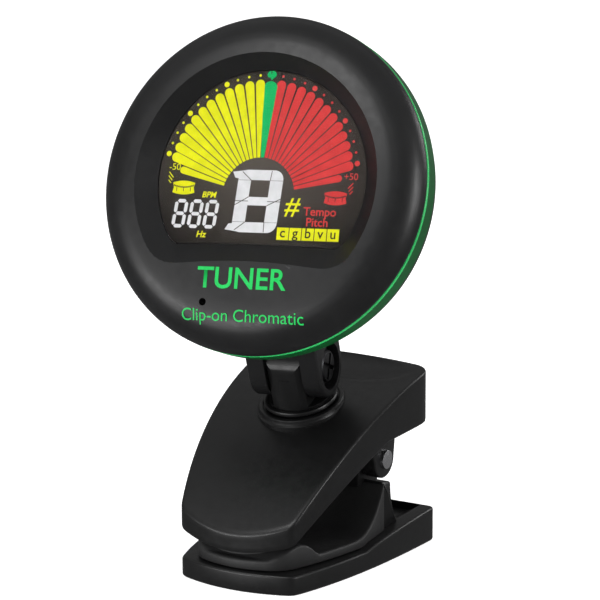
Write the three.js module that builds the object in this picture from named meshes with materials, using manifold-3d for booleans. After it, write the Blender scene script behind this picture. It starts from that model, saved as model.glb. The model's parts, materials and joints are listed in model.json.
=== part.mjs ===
// Clip-on tuner: a round display head on a tilting yoke and a swivelling post, on a sprung clip.
// Millimetres, +Z up. The clip faces -Y, +X is to the right as seen from the front, and the origin is
// the centre of the flat base that the closed clip rests on.
import * as THREE from 'three';
import { ConvexGeometry } from 'three/addons/geometries/ConvexGeometry.js';
import { mergeVertices } from 'three/addons/utils/BufferGeometryUtils.js';
import Module from 'manifold-3d';

const wasm = await Module();
wasm.setup();

// ---------------------------------------------------------------- clip sizes
const jawLength = 34.4; // base, front corners to rear edge
const jawFrontHalf = 9.65; // half width at the front corners
const jawRearHalf = 14.2; // half width at the rear
const jawFlareX = 14.0; // control point of the flared side
const jawFlareY = 0.35 * jawLength;
const frontBow = 1.95; // how far the front edge bows out
const rearBow = 1.3; // how far the upper jaw's rear edge bows out

const railFrontHeight = 3.1; // lower jaw's top at the front
const railRearHeight = 5.4; // and at the rear
const railFlatLength = 0.465 * jawLength; // length of the level front part of the rail
const railWidth = 2.2; // ledge around the lower pad
const rearFloorHeight = 4.2; // floor between the rear rails

const hingeY = jawLength - 10.4; // clip pivot, from the front corners
const hingeZ = 15.0;
const pinRadius = 1.45;
const runningClearance = 0.08; // radial, for pieces that turn on a shaft
const lugRadius = 2 * pinRadius;
const supportHeight = hingeZ - lugRadius - 0.3; // hinge support's shoulder
const supportFront = hingeY - 1.4;
const supportRear = hingeY + 1.0;
const supportFoot = 3.0; // how far the support flares at its foot
const lugInner = 8.75; // upper jaw's lugs
const lugOuter = 11.3;
const earInner = 5.7; // lower jaw's ears, inside the lugs
const earOuter = 8.45;
const pinProud = 0.45; // pin's ends, beyond the lugs

const archRadius = 57.3; // side view of the upper jaw's top plate
const archCentreY = jawLength + 6.5;
const archCentreZ = -29.3;
const plateThickness = 2.0;
const flangeThickness = 1.8;
const noseLength = 7.0; // solid front of the upper jaw
const noseDrop = 5.8; // height of the front wall's lower edge
const flangeMidY = hingeY - 3.0; // where the flange's lower edge levels out
const flangeMidZ = 18.7;
const flangeBendY = flangeMidY - 12.3; // control point of that edge
const flangeBendZ = 14.55;
const flangeRearZ = 19.2;
const upperLength = jawLength + 0.2; // upper jaw, front corners to rear edge
const rearCorner = 3.0; // plan radius of the upper jaw's rear corners
const scoopDepth = 1.1;
const scoopRadius = 15.0;
const scoopY = jawLength - 4.4;
const scoopHalfWidth = 12.0;
const scoopHalfLength = 4.3;

const padInset = 2.05; // pads' sides, inside the jaws' outline
const padFrontInset = 0.9; // and their front
const padHeight = 6.7; // hump of the lower pad
const throatHeight = 4.55; // floor of the lower pad's throat
const upperPadThickness = 0.9;
const upperPadLength = flangeMidY - 12.0;
const seatGap = 0.15; // between pieces that are seated on each other
const contactGap = 0.25; // between the two pads when the clip is closed

const wireRadius = 0.45;
const coilRadius = pinRadius + 1.3;
const coilTurns = 6;
const coilHalf = 4.1;
const springLegY = hingeY + 7.5; // where the legs bear on the two jaws

// ---------------------------------------------------------------- post sizes
const postLean = THREE.MathUtils.degToRad(18.0); // post leans forward, square to the plate below it
const postY = hingeY - 5.07; // foot of the post, from the front corners
const headSwivel = THREE.MathUtils.degToRad(9.15); // head's turn on the post at rest
const headTilt = THREE.MathUtils.degToRad(39.5); // head's lean back from the post at rest
const bossHeight = 1.0;
const postRadius = 4.8;
const bossRadius = postRadius + 1.7;
const postShoulder = 1.95; // round part of the post's foot
const collarRadius = postRadius + 0.8;
const collarHeight = 0.6;
const tongueHalf = 2.75;
const tongueRadius = postRadius - 0.1;
const earRadius = postRadius - 0.15; // yoke's ears, round about the tilt axis
const pivotHeight = postShoulder + earRadius + 0.3; // tilt axis above the foot
const swivelScrewRadius = 1.5;
const swivelHeadRadius = 3.0;
const swivelHeadHeight = 1.5;
const swivelSeat = -3.3; // underside of the plate's inner boss
const innerBossRadius = swivelHeadRadius + 1.4;
const washerHeight = 0.5;
const washerRadius = 3.4;
const faceClearance = 0.12; // between flat faces that turn on each other

// ---------------------------------------------------------------- yoke sizes
const earGapHalf = tongueHalf + 0.15;
const earThickness = 2.85;
const pocketRadius = earRadius - 1.15;
const pocketDepth = 1.7;
const tiltScrewRadius = 1.3;
const tiltHeadRadius = 2.4;
const tiltHeadHeight = 1.3;
const nutRadius = 2.6;
const webStart = earRadius + 1.05; // solid web between the ears, from the tilt axis
const footGap = 0.2; // bracket's foot to the rear cover

// ---------------------------------------------------------------- head sizes
// depths in the head run forward from the joint between the front shell and the accent ring
const cellRadius = 10.0; // coin cell
const headMargin = 15.0; // head's radius beyond the coin cell's
const headRadius = cellRadius + headMargin;
const headBack = 17.8; // the joint between the shells is this far ahead of the tilt axis
const headRise = headRadius - 1.27; // and its centre this far above it
const shellWall = 1.6;
const domeDepth = 4.6;
const dishRadius = 19.0;
const dishChord = -11.6;
const dishDepth = 4.4;
const windowRadius = 16.1;
const windowChord = -9.4;
const lensDepth = 2.1;
const lensThickness = 0.95;
const lensGap = 0.2;
const caseGap = 0.15; // between shell, ring and cover
const ringDepth = 3.75;
const ringInner = headRadius - 1.3;
const coverDepth = 9.2;
const coverFlatRadius = headRadius - 6.5;
const micX = -6.2;
const micZ = 7.1 - headRadius;
const micRadius = 2.0;
const micHoleRadius = 0.55;
const panelHalf = 16.4;
const panelBottom = -11.0;
const panelTop = 16.8;
const panelCut = 7.0;
const panelFront = 0.75;
const panelThickness = 1.6;
const guideBottom = -9.2;
const guideThickness = 1.0;
const frameWall = 1.0;
const frameGap = 0.2;
const boardRadius = 18.0;
const boardFront = -2.7;
const boardThickness = 1.0;
const cellThickness = 3.2;
const doorRadius = cellRadius + 0.9;
const doorGap = 0.25;
const doorThickness = 1.45;
const doorWall = 0.7;
const doorTabReach = 1.2;
const doorTabHalf = 2.2;
const doorTabDepth = 0.75;
const coinSlotHalf = 5.0;
const caseScrewReach = headRadius - 4.4; // screws' distance from the head's centre
const caseScrewAngles = [10, 170, 270].map((degrees) => THREE.MathUtils.degToRad(degrees));
const caseScrewRadius = 0.8;
const caseScrewHead = 1.6;
const caseScrewHeadHeight = 0.9;
const caseScrewSeat = -6.7;
const casePostRadius = 2.0;
const screwGap = 0.15;
const buttonRadius = 2.3;
const buttonGap = 0.2;
const buttonProud = 0.6;
const buttonFlange = 0.6;
const buttonTravel = 0.35;
const switchSide = 3.6;
const switchHeight = 1.5;
const bracketScrewPitch = 6.0;
const bracketScrewRadius = 0.9;
const bracketScrewHead = 1.7;
const bracketScrewDepth = 13.0;

// ---------------------------------------------------------------- materials
const plastic = (color, roughness) => new THREE.MeshStandardMaterial({ color, roughness, metalness: 0 });
const metal = (color, roughness) => new THREE.MeshStandardMaterial({ color, roughness, metalness: 1 });
const shellBlack = plastic(0x1b1b1d, 0.45);
const clipBlack = plastic(0x161617, 0.5);
const padGrey = plastic(0x1e1e1f, 0.8);
const ringGreen = plastic(0x1f9a4a, 0.25);
const lensClear = plastic(0x2a2724, 0.08);
const panelDark = plastic(0x35302c, 0.15);
const guideWhite = plastic(0xf2f2ea, 0.3);
const frameWhite = plastic(0xd9d9d6, 0.6);
const stripGrey = plastic(0x8d8f94, 0.7);
const boardGreen = plastic(0x14512f, 0.5);
const steel = metal(0xb9bcc0, 0.3);
const brass = metal(0xc9a650, 0.35);
const blackSteel = metal(0x2b2b2d, 0.4);

// ---------------------------------------------------------------- helpers
const X = new THREE.Vector3(1, 0, 0);
const Y = new THREE.Vector3(0, 1, 0);
const Z = new THREE.Vector3(0, 0, 1);
const ROUND = 40; // facets of a large round
const FINE = 16; // facets of a small one
const SHELL = 48; // facets of the head's shells

// a closed geometry as a solid, with its faces turned outward
function solid(geometry) {
  const bare = geometry.index ? geometry.toNonIndexed() : geometry.clone();
  bare.deleteAttribute('normal');
  bare.deleteAttribute('uv');
  const merged = mergeVertices(bare, 1e-4);
  const corner = [new THREE.Vector3(), new THREE.Vector3(), new THREE.Vector3()];
  const triangles = [];
  let volume = 0;
  for (let i = 0; i < merged.index.count; i += 3) {
    const [a, b, c] = [0, 1, 2].map((k) => merged.index.getX(i + k));
    if (a === b || b === c || c === a) {
      continue;
    }
    triangles.push([a, b, c]);
    [a, b, c].forEach((index, k) => corner[k].fromBufferAttribute(merged.attributes.position, index));
    volume += corner[0].dot(corner[1].clone().cross(corner[2]));
  }
  const outward = triangles.flatMap(([a, b, c]) => (volume > 0 ? [a, b, c] : [a, c, b]));
  const vertProperties = Float32Array.from(merged.attributes.position.array);
  return new wasm.Manifold(new wasm.Mesh({ numProp: 3, vertProperties, triVerts: Uint32Array.from(outward) }));
}

const cut = (body, ...tools) => tools.reduce((rest, tool) => rest.subtract(tool), body);
const join = (body, ...others) => others.reduce((sum, other) => sum.add(other), body);
const common = (a, b) => a.intersect(b);

function place(parent, name, body, material) {
  const shape = body.getMesh();
  const geometry = new THREE.BufferGeometry();
  geometry.setAttribute('position', new THREE.BufferAttribute(Float32Array.from(shape.vertProperties), 3));
  geometry.setIndex(Array.from(shape.triVerts));
  geometry.computeVertexNormals();
  const mesh = new THREE.Mesh(geometry, material);
  mesh.name = name;
  parent.add(mesh);
  return mesh;
}

function block(low, high) {
  const size = high.map((value, k) => value - low[k]);
  const geometry = new THREE.BoxGeometry(...size);
  geometry.translate(...low.map((value, k) => value + size[k] / 2));
  return solid(geometry);
}

// a round bar from one place to another along an axis, through the point at
function rod(axis, from, to, radius, at = new THREE.Vector3(), facets = FINE) {
  const geometry = new THREE.CylinderGeometry(radius, radius, to - from, facets);
  geometry.applyQuaternion(new THREE.Quaternion().setFromUnitVectors(Y, axis));
  geometry.translate(...at.clone().addScaledVector(axis, (from + to) / 2));
  return solid(geometry);
}

// an outline in the side view (y, z), extruded across x from -half to half
function sideProfile(shape, half, curveSegments = 12) {
  const geometry = new THREE.ExtrudeGeometry(shape, { depth: 2 * half, bevelEnabled: false, curveSegments });
  geometry.applyMatrix4(new THREE.Matrix4().makeBasis(Y, Z, X));
  geometry.translate(-half, 0, 0);
  return solid(geometry);
}

// an outline in the plan view (x, y), extruded up from low to high
function planProfile(shape, low, high, curveSegments = 8) {
  const geometry = new THREE.ExtrudeGeometry(shape, { depth: high - low, bevelEnabled: false, curveSegments });
  geometry.translate(0, 0, low);
  return solid(geometry);
}

// an outline on the head's face (x, z), extruded forward from one depth to another
function facePlate(shape, from, to) {
  const geometry = new THREE.ExtrudeGeometry(shape, { depth: to - from, bevelEnabled: false, curveSegments: 12 });
  geometry.rotateX(Math.PI / 2);
  geometry.translate(0, -from, 0);
  return solid(geometry);
}

// a turned shape about the head's face axis, from [radius, depth] points
function turned(points, facets = ROUND) {
  const profile = points.map(([radius, depth]) => new THREE.Vector2(radius, -depth));
  return solid(new THREE.LatheGeometry(profile, facets));
}

// a rod along the head's face axis, at a place on the face
function faceRod(x, z, from, to, radius, facets = FINE) {
  return rod(Y, -to, -from, radius, new THREE.Vector3(x, 0, z), facets);
}

const polygon = (points) => new THREE.Shape(points.map(([a, b]) => new THREE.Vector2(a, b)));

// ---------------------------------------------------------------- clip outlines
function jawOutline(inset, length, cornerRadius = 0, bow = 0, frontInset = inset) {
  const front = -2 * frontBow + frontInset;
  const frontHalf = jawFrontHalf - inset;
  const rearHalf = jawRearHalf - inset;
  const rear = length - inset;
  const shape = new THREE.Shape();
  shape.moveTo(-frontHalf, frontInset);
  shape.quadraticCurveTo(0, front, frontHalf, frontInset);
  shape.quadraticCurveTo(jawFlareX - inset, jawFlareY, rearHalf, rear - cornerRadius - bow);
  if (cornerRadius > 0) {
    shape.quadraticCurveTo(rearHalf, rear - bow, rearHalf - cornerRadius, rear - bow);
    shape.quadraticCurveTo(0, rear + bow, cornerRadius - rearHalf, rear - bow);
    shape.quadraticCurveTo(-rearHalf, rear - bow, -rearHalf, rear - cornerRadius - bow);
  } else {
    shape.lineTo(-rearHalf, rear);
  }
  shape.quadraticCurveTo(inset - jawFlareX, jawFlareY, -frontHalf, frontInset);
  return shape;
}

const padOutline = () => jawOutline(padInset, jawLength, 0, 0, padFrontInset);

const archHeight = (y, depth = 0) =>
  archCentreZ + Math.sqrt((archRadius - depth) ** 2 - (y - archCentreY) ** 2);

// the arched top plate and everything below it, down to the base
function underArch(depth) {
  const shape = new THREE.Shape();
  const radius = archRadius - depth;
  const front = -3 * frontBow;
  const rear = upperLength + 2 * rearBow;
  const startAngle = Math.atan2(archHeight(rear, depth) - archCentreZ, rear - archCentreY);
  const endAngle = Math.atan2(archHeight(front, depth) - archCentreZ, front - archCentreY);
  shape.moveTo(front, 0);
  shape.lineTo(rear, 0);
  shape.absarc(archCentreY, archCentreZ, radius, startAngle, endAngle, false);
  shape.lineTo(front, 0);
  return sideProfile(shape, 2 * jawRearHalf, 18);
}

// everything above the upper jaw's lower edge, moved down by drop
function aboveFlange(drop, rear) {
  const shape = new THREE.Shape();
  const front = -3 * frontBow;
  const slope = (flangeBendZ - noseDrop) / (flangeBendY + frontBow);
  const top = archRadius;
  const tail = upperLength + 2 * rearBow;
  shape.moveTo(front, noseDrop - drop + slope * (front + frontBow));
  shape.lineTo(-frontBow, noseDrop - drop);
  shape.quadraticCurveTo(flangeBendY, flangeBendZ - drop, flangeMidY, flangeMidZ - drop);
  shape.lineTo(rear, flangeRearZ - drop);
  shape.quadraticCurveTo(upperLength, flangeRearZ - drop, upperLength + rearBow / 2, flangeRearZ + 2.4);
  shape.lineTo(tail, top);
  shape.lineTo(front, top);
  return sideProfile(shape, 2 * jawRearHalf, 8);
}

// ---------------------------------------------------------------- post placement
const postZ = archHeight(postY) - 0.36;
const postTurn = new THREE.Matrix4().makeRotationX(postLean).setPosition(0, postY, postZ);
const postSolid = (body) => body.transform(postTurn.elements);

// ---------------------------------------------------------------- lower jaw and its pieces
function lowerJaw() {
  const top = new THREE.Shape();
  const front = -2 * frontBow;
  const tail = jawLength + 1;
  top.moveTo(front, 0);
  top.lineTo(tail, 0);
  top.lineTo(tail, railRearHeight);
  top.quadraticCurveTo(railFlatLength + 7, railRearHeight - 0.4, railFlatLength, railFrontHeight);
  top.lineTo(front, railFrontHeight);
  const base = common(planProfile(jawOutline(0, jawLength), 0, railRearHeight), sideProfile(top, 2 * jawRearHalf));
  const floorHalf = jawRearHalf - railWidth - 2;
  const topHalf = jawRearHalf - railWidth;
  const channel = new ConvexGeometry([supportRear + 1, tail].flatMap((y) => [-1, 1].flatMap((side) => [
    new THREE.Vector3(side * floorHalf, y, rearFloorHeight),
    new THREE.Vector3(side * topHalf, y, railRearHeight),
    new THREE.Vector3(side * topHalf, y, railRearHeight + 2),
  ])));
  const side = new THREE.Shape();
  side.moveTo(supportFront, railFrontHeight - 1);
  side.lineTo(supportFront, supportHeight);
  side.lineTo(supportRear, supportHeight - 0.4);
  side.quadraticCurveTo(supportRear, rearFloorHeight + 2, supportRear + supportFoot, rearFloorHeight - 0.5);
  side.lineTo(supportRear + supportFoot, railFrontHeight - 1);
  const support = common(
    sideProfile(side, 2 * jawRearHalf),
    planProfile(jawOutline(padInset, jawLength), 0, supportHeight + 1),
  );
  const ear = new THREE.Shape();
  const earRoot = hingeZ - lugRadius - 1;
  ear.moveTo(hingeY - lugRadius, railFrontHeight - 1);
  ear.lineTo(hingeY + lugRadius, railFrontHeight - 1);
  ear.lineTo(hingeY + lugRadius, earRoot);
  ear.absarc(hingeY, hingeZ, lugRadius, 0, Math.PI, false);
  ear.lineTo(hingeY - lugRadius, railFrontHeight - 1);
  const ears = cut(sideProfile(ear, earOuter), sideProfile(ear, earInner));
  const springWell = block(
    [-earInner, supportFront - 1, rearFloorHeight],
    [earInner, supportRear + supportFoot + 1, hingeZ + lugRadius],
  );
  const bore = rod(X, -earOuter - 1, earOuter + 1, pinRadius + seatGap / 2, new THREE.Vector3(0, hingeY, hingeZ));
  const earNotch = block(
    [-earOuter - 1, hingeY - lugRadius - 1, railFrontHeight - 2],
    [earOuter + 1, supportFront, hingeZ + lugRadius],
  );
  const noseOfEars = cut(ears, earNotch);
  const lowerEars = common(ears, block([-earOuter, 0, hingeZ - lugRadius - 1.2], [earOuter, 2 * hingeY, 2 * hingeZ]));
  return cut(join(cut(base, solid(channel)), cut(support, springWell), noseOfEars, lowerEars), bore);
}

function lowerPad() {
  const shape = new THREE.Shape();
  const bottom = railFrontHeight + seatGap;
  const rear = supportFront - seatGap;
  const lipHeight = noseDrop - seatGap - upperPadThickness - contactGap;
  shape.moveTo(-frontBow, bottom);
  shape.lineTo(-frontBow, lipHeight);
  shape.lineTo(0.2, lipHeight + 0.3);
  shape.quadraticCurveTo(2.6, padHeight + 0.1, 4.1, padHeight);
  shape.quadraticCurveTo(5.6, padHeight - 0.3, 7.2, throatHeight);
  shape.lineTo(rear - 7.85, throatHeight);
  shape.bezierCurveTo(rear - 3.85, throatHeight + 0.2, rear - 3.45, supportHeight - 2.5, rear, supportHeight);
  shape.lineTo(rear, railRearHeight - 0.7);
  shape.lineTo(railFlatLength + 3, railFrontHeight + 0.95);
  shape.lineTo(railFlatLength, bottom);
  const outline = planProfile(padOutline(), 0, 2 * hingeZ);
  const earRoom = block(
    [-earOuter - seatGap, hingeY - lugRadius - seatGap, 0],
    [earOuter + seatGap, hingeY, 2 * hingeZ],
  );
  return cut(common(sideProfile(shape, 2 * jawRearHalf), outline), earRoom);
}

function pivotPin() {
  const at = new THREE.Vector3(0, hingeY, hingeZ);
  const reach = lugOuter + faceClearance + pinProud;
  return rod(X, -reach, reach, pinRadius, at);
}

// the wire runs from the lower jaw's floor, round the pin, to the underside of the plate
function torsionSpring() {
  const points = [];
  const steps = coilTurns * 10;
  const lowerLeg = new THREE.Vector3(-coilHalf, springLegY, rearFloorHeight + wireRadius + seatGap);
  const upperLeg = new THREE.Vector3(
    coilHalf, springLegY, archHeight(springLegY, plateThickness) - wireRadius - 3 * seatGap);
  const startAngle = -Math.PI / 2;
  const sweep = -(coilTurns - 1) * 2 * Math.PI - Math.PI;
  points.push(lowerLeg, lowerLeg.clone().lerp(new THREE.Vector3(-coilHalf, hingeY, hingeZ - coilRadius), 0.5));
  for (let i = 0; i <= steps; i += 1) {
    const t = i / steps;
    const angle = startAngle + sweep * t;
    points.push(new THREE.Vector3(
      THREE.MathUtils.lerp(-coilHalf, coilHalf, t),
      hingeY + coilRadius * Math.cos(angle),
      hingeZ + coilRadius * Math.sin(angle),
    ));
  }
  points.push(upperLeg.clone().lerp(new THREE.Vector3(coilHalf, hingeY, hingeZ + coilRadius), 0.5), upperLeg);
  const path = new THREE.CatmullRomCurve3(points, false, 'centripetal');
  const section = new THREE.Shape();
  section.absarc(0, 0, wireRadius, 0, 2 * Math.PI, false);
  return solid(new THREE.ExtrudeGeometry(section, { extrudePath: path, steps: steps + 12, curveSegments: 3 }));
}

// ---------------------------------------------------------------- upper jaw and its pieces
function upperJaw() {
  const outline = planProfile(jawOutline(0, upperLength, rearCorner, rearBow), 0, archRadius);
  const body = common(common(outline, underArch(0)), aboveFlange(0, upperLength - rearCorner));
  const hollowPlan = jawOutline(flangeThickness, upperLength, rearCorner, rearBow);
  const hollow = cut(
    common(planProfile(hollowPlan, 0, archRadius), underArch(plateThickness)),
    block([-jawRearHalf, -jawLength, 0], [jawRearHalf, noseLength, archRadius]),
  );
  const lug = new THREE.Shape();
  const root = archRadius;
  lug.moveTo(hingeY - 5, root);
  lug.lineTo(hingeY - 5, hingeZ + lugRadius);
  lug.quadraticCurveTo(hingeY - 3.5, hingeZ + 1, hingeY - lugRadius, hingeZ);
  lug.absarc(hingeY, hingeZ, lugRadius, Math.PI, 2 * Math.PI, false);
  lug.lineTo(hingeY + 3.4, root);
  const lugs = common(cut(sideProfile(lug, lugOuter), sideProfile(lug, lugInner)), underArch(plateThickness / 2));
  const boss = postSolid(join(
    rod(Z, -2, bossHeight, bossRadius, new THREE.Vector3(), ROUND),
    rod(Z, swivelSeat, 0, innerBossRadius),
  ));
  const bores = join(
    rod(X, -lugOuter - 1, lugOuter + 1, pinRadius + runningClearance, new THREE.Vector3(0, hingeY, hingeZ)),
    postSolid(rod(Z, swivelSeat - 1, bossHeight + 1, swivelScrewRadius + runningClearance)),
  );
  const mouth = Math.sqrt(scoopRadius ** 2 - (scoopRadius - scoopDepth) ** 2);
  const scoopScale = new THREE.Matrix4().makeScale(scoopHalfWidth / mouth, scoopHalfLength / mouth, 1);
  const ball = new THREE.SphereGeometry(scoopRadius, 40, 28);
  ball.applyMatrix4(scoopScale);
  ball.translate(0, scoopY, archHeight(scoopY) + scoopRadius - scoopDepth);
  return cut(join(cut(body, hollow), lugs, boss), bores, solid(ball));
}

function upperPad() {
  const plan = planProfile(padOutline(), 0, 2 * hingeZ);
  const layer = cut(aboveFlange(upperPadThickness + seatGap, upperLength), aboveFlange(seatGap, upperLength));
  const band = block([-jawRearHalf, -jawLength, 0], [jawRearHalf, upperPadLength, 2 * hingeZ]);
  return common(common(layer, plan), band);
}

// ---------------------------------------------------------------- post and its pieces, in the post's frame
function swivelPost() {
  const foot = bossHeight + faceClearance;
  const round = rod(Z, foot, pivotHeight + tongueRadius, postRadius, new THREE.Vector3(), ROUND);
  const tongue = join(
    block([-tongueHalf, -postRadius, foot], [tongueHalf, postRadius, pivotHeight]),
    rod(X, -tongueHalf, tongueHalf, tongueRadius, new THREE.Vector3(0, 0, pivotHeight), ROUND),
  );
  const base = rod(Z, foot, postShoulder, postRadius, new THREE.Vector3(), ROUND);
  const tiltBore = rod(
    X, -postRadius, postRadius, tiltScrewRadius + runningClearance, new THREE.Vector3(0, 0, pivotHeight));
  const screwBore = rod(Z, 0, pivotHeight - tiltScrewRadius - 1.2, swivelScrewRadius + seatGap / 2);
  return cut(join(common(round, tongue), base), tiltBore, screwBore);
}

function collarRing() {
  const low = bossHeight + faceClearance;
  return cut(
    rod(Z, low, low + collarHeight, collarRadius, new THREE.Vector3(), ROUND),
    rod(Z, low - 1, low + collarHeight + 1, postRadius + seatGap, new THREE.Vector3(), ROUND),
  );
}

const screwSeat = swivelSeat - faceClearance - washerHeight - faceClearance;

function swivelScrew() {
  const slot = block([-swivelHeadRadius, -0.35, screwSeat - swivelHeadHeight - 1], [
    swivelHeadRadius, 0.35, screwSeat - swivelHeadHeight + 0.6]);
  return cut(join(
    rod(Z, screwSeat - swivelHeadHeight, screwSeat, swivelHeadRadius),
    rod(Z, screwSeat - 0.1, pivotHeight - tiltScrewRadius - 1.5, swivelScrewRadius),
  ), slot);
}

function waveWasher() {
  const low = swivelSeat - faceClearance - washerHeight;
  return cut(
    rod(Z, low, low + washerHeight, washerRadius),
    rod(Z, low - 1, low + washerHeight + 1, swivelScrewRadius + runningClearance),
  );
}

// ---------------------------------------------------------------- yoke, in the tilting frame
const earFace = earGapHalf + earThickness;
const coverBackY = coverDepth - headBack; // rear cover's flat back, in the tilting frame
const footY = coverBackY + footGap;
const armLean = headTilt - THREE.MathUtils.degToRad(2.8); // arm's lean from the head's face
const armReach = -footY / Math.sin(armLean);
const footHalf = earRadius / Math.sin(armLean); // half the foot's height on the cover
const footZ = armReach * Math.cos(armLean) - headRise; // its middle, on the head's face
const bracketScrewZ = [footZ + bracketScrewPitch / 2, footZ - bracketScrewPitch / 2];
const cellZ = footZ + footHalf + doorRadius + 0.2; // the door clears the foot

function armProfile() {
  const shape = new THREE.Shape();
  const up = Math.cos(armLean);
  const forward = Math.sin(armLean);
  const frontLength = armReach - earRadius / Math.tan(armLean);
  const rearLength = armReach + earRadius / Math.tan(armLean);
  shape.moveTo(-earRadius * up, -earRadius * forward);
  shape.lineTo(-earRadius * up - frontLength * forward, -earRadius * forward + frontLength * up);
  shape.lineTo(earRadius * up - rearLength * forward, earRadius * forward + rearLength * up);
  shape.lineTo(earRadius * up, earRadius * forward);
  shape.absarc(0, 0, earRadius, armLean, armLean - Math.PI, true);
  return shape;
}

function yokeBracket() {
  const whole = sideProfile(armProfile(), earFace, ROUND / 2);
  const slot = join(
    rod(X, -earGapHalf, earGapHalf, webStart, new THREE.Vector3(), ROUND),
    block([-earGapHalf, -webStart, -webStart], [earGapHalf, webStart, 0]),
  );
  const pockets = [-1, 1].map((side) => rod(
    X,
    Math.min(side * (earFace - pocketDepth), side * (earFace + 1)),
    Math.max(side * (earFace - pocketDepth), side * (earFace + 1)),
    pocketRadius,
  ));
  const bore = rod(X, -earFace - 1, earFace + 1, tiltScrewRadius + seatGap / 2);
  const screwBores = bracketScrewZ.map((z) =>
    rod(Y, footY - 1, footY + bracketScrewDepth - coverDepth, bracketScrewRadius + seatGap / 2,
      new THREE.Vector3(0, 0, headRise + z)));
  return cut(whole, slot, ...pockets, bore, ...screwBores);
}

const pocketFloor = earFace - pocketDepth + seatGap;

function tiltScrew() {
  const slot = block([pocketFloor + tiltHeadHeight - 0.5, -tiltHeadRadius, -0.3], [earFace + 1, tiltHeadRadius, 0.3]);
  return cut(join(
    rod(X, pocketFloor, pocketFloor + tiltHeadHeight, tiltHeadRadius),
    rod(X, -pocketFloor - tiltHeadHeight, pocketFloor + 0.1, tiltScrewRadius),
  ), slot);
}

function tiltNut() {
  return cut(
    rod(X, -pocketFloor - tiltHeadHeight, -pocketFloor, nutRadius, new THREE.Vector3(), 6),
    rod(X, -earFace - 1, 0, tiltScrewRadius + seatGap / 2),
  );
}

// ---------------------------------------------------------------- head, in the face's frame
// a circle cut off along a chord, as the window and the dish are
function windowPoints(radius, chord) {
  const corner = Math.asin(chord / radius);
  const count = 26;
  return Array.from({ length: count + 1 }, (unused, i) => {
    const angle = THREE.MathUtils.lerp(corner, Math.PI - corner, i / count);
    return [radius * Math.cos(angle), radius * Math.sin(angle)];
  });
}

const panelOutline = (grow, bottom = panelBottom) => polygon([
  [-panelHalf - grow, bottom - grow],
  [panelHalf + grow, bottom - grow],
  [panelHalf + grow, panelTop - panelCut],
  [panelHalf - panelCut, panelTop + grow],
  [panelCut - panelHalf, panelTop + grow],
  [-panelHalf - grow, panelTop - panelCut],
]);

const caseScrews = caseScrewAngles.map((angle) => [
  caseScrewReach * Math.cos(angle), caseScrewReach * Math.sin(angle)]);

function frontShell() {
  const outer = turned([
    [0, 0], [headRadius - 0.05, 0], [headRadius, 0.35], [headRadius - 0.35, 1.3], [headRadius - 1.2, 2.45],
    [headRadius - 2.9, 3.5], [headRadius - 5.4, 4.1], [0.64 * headRadius, 4.4], [0.36 * headRadius, domeDepth - 0.05],
    [0, domeDepth],
  ], SHELL);
  const inner = turned([
    [0, -1], [headRadius - shellWall, -1], [headRadius - shellWall, 0.7], [headRadius - 2.5, 1.8],
    [headRadius - 4.8, 2.5], [headRadius - 6.4, 1.0], [0, 1.0],
  ]);
  const dishPoints = [
    ...windowPoints(windowRadius, windowChord).map(([x, z]) => new THREE.Vector3(x, -lensDepth, z)),
    ...windowPoints(dishRadius, dishChord).map(([x, z]) => new THREE.Vector3(x, -dishDepth, z)),
    ...windowPoints(dishRadius + 0.6, dishChord - 0.6).map(([x, z]) => new THREE.Vector3(x, -dishDepth - 2, z)),
  ];
  const posts = caseScrews.map(([x, z]) => faceRod(x, z, 2 * caseGap - ringDepth, 1.6, casePostRadius));
  const bores = caseScrews.map(([x, z]) => faceRod(x, z, -ringDepth - 1, 0.9, caseScrewRadius + screwGap));
  return cut(
    join(cut(outer, inner), ...posts),
    solid(new ConvexGeometry(dishPoints)),
    facePlate(polygon(windowPoints(windowRadius, windowChord)), 0, dishDepth),
    faceRod(micX, micZ, 0, domeDepth + 1, micHoleRadius, 12),
    ...bores,
  );
}

function displayLens() {
  const outline = polygon(windowPoints(windowRadius - lensGap, windowChord + lensGap));
  return facePlate(outline, lensDepth - lensThickness, lensDepth);
}

function accentRing() {
  const front = -caseGap;
  const rear = -ringDepth + caseGap;
  return turned([
    [ringInner, front], [headRadius - 0.35, front], [headRadius - 0.1, front - 0.12], [headRadius, front - 0.35],
    [headRadius, rear + 0.2], [headRadius - 0.2, rear], [ringInner, rear], [ringInner, front],
  ], SHELL);
}

const lcdPanel = () => facePlate(panelOutline(0), panelFront - panelThickness, panelFront);

const guideFront = panelFront - panelThickness - frameGap;
const lightGuide = () => facePlate(panelOutline(0, guideBottom), guideFront - guideThickness, guideFront);

function displayFrame() {
  const rear = boardFront + seatGap;
  return cut(
    facePlate(panelOutline(frameGap + frameWall), rear, panelFront - seatGap),
    facePlate(panelOutline(frameGap), rear - 1, panelFront + 1),
  );
}

const contactStrip = () => block(
  [-panelHalf + 3, -guideFront, panelBottom + 0.15],
  [panelHalf - 3, -boardFront - seatGap, guideBottom - 0.25],
);

const boardRear = boardFront - boardThickness;

function circuitBoard() {
  return faceRod(0, 0, boardRear, boardFront, boardRadius, ROUND);
}

const microphone = () => faceRod(micX, micZ, -0.9, 0.8, micRadius);

const buzzer = () => cut(
  faceRod(8, -11.4, boardRear - seatGap - 2.5, boardRear - seatGap, 4.5),
  faceRod(8, -11.4, boardRear - seatGap - 3, boardRear - seatGap - 2, 0.8, 12),
);

const coverInner = -coverDepth + shellWall - 0.1;
const piezoSensor = () => faceRod(-7.5, -12.2, coverInner + 0.2, coverInner + 0.65, 4.0);

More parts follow.
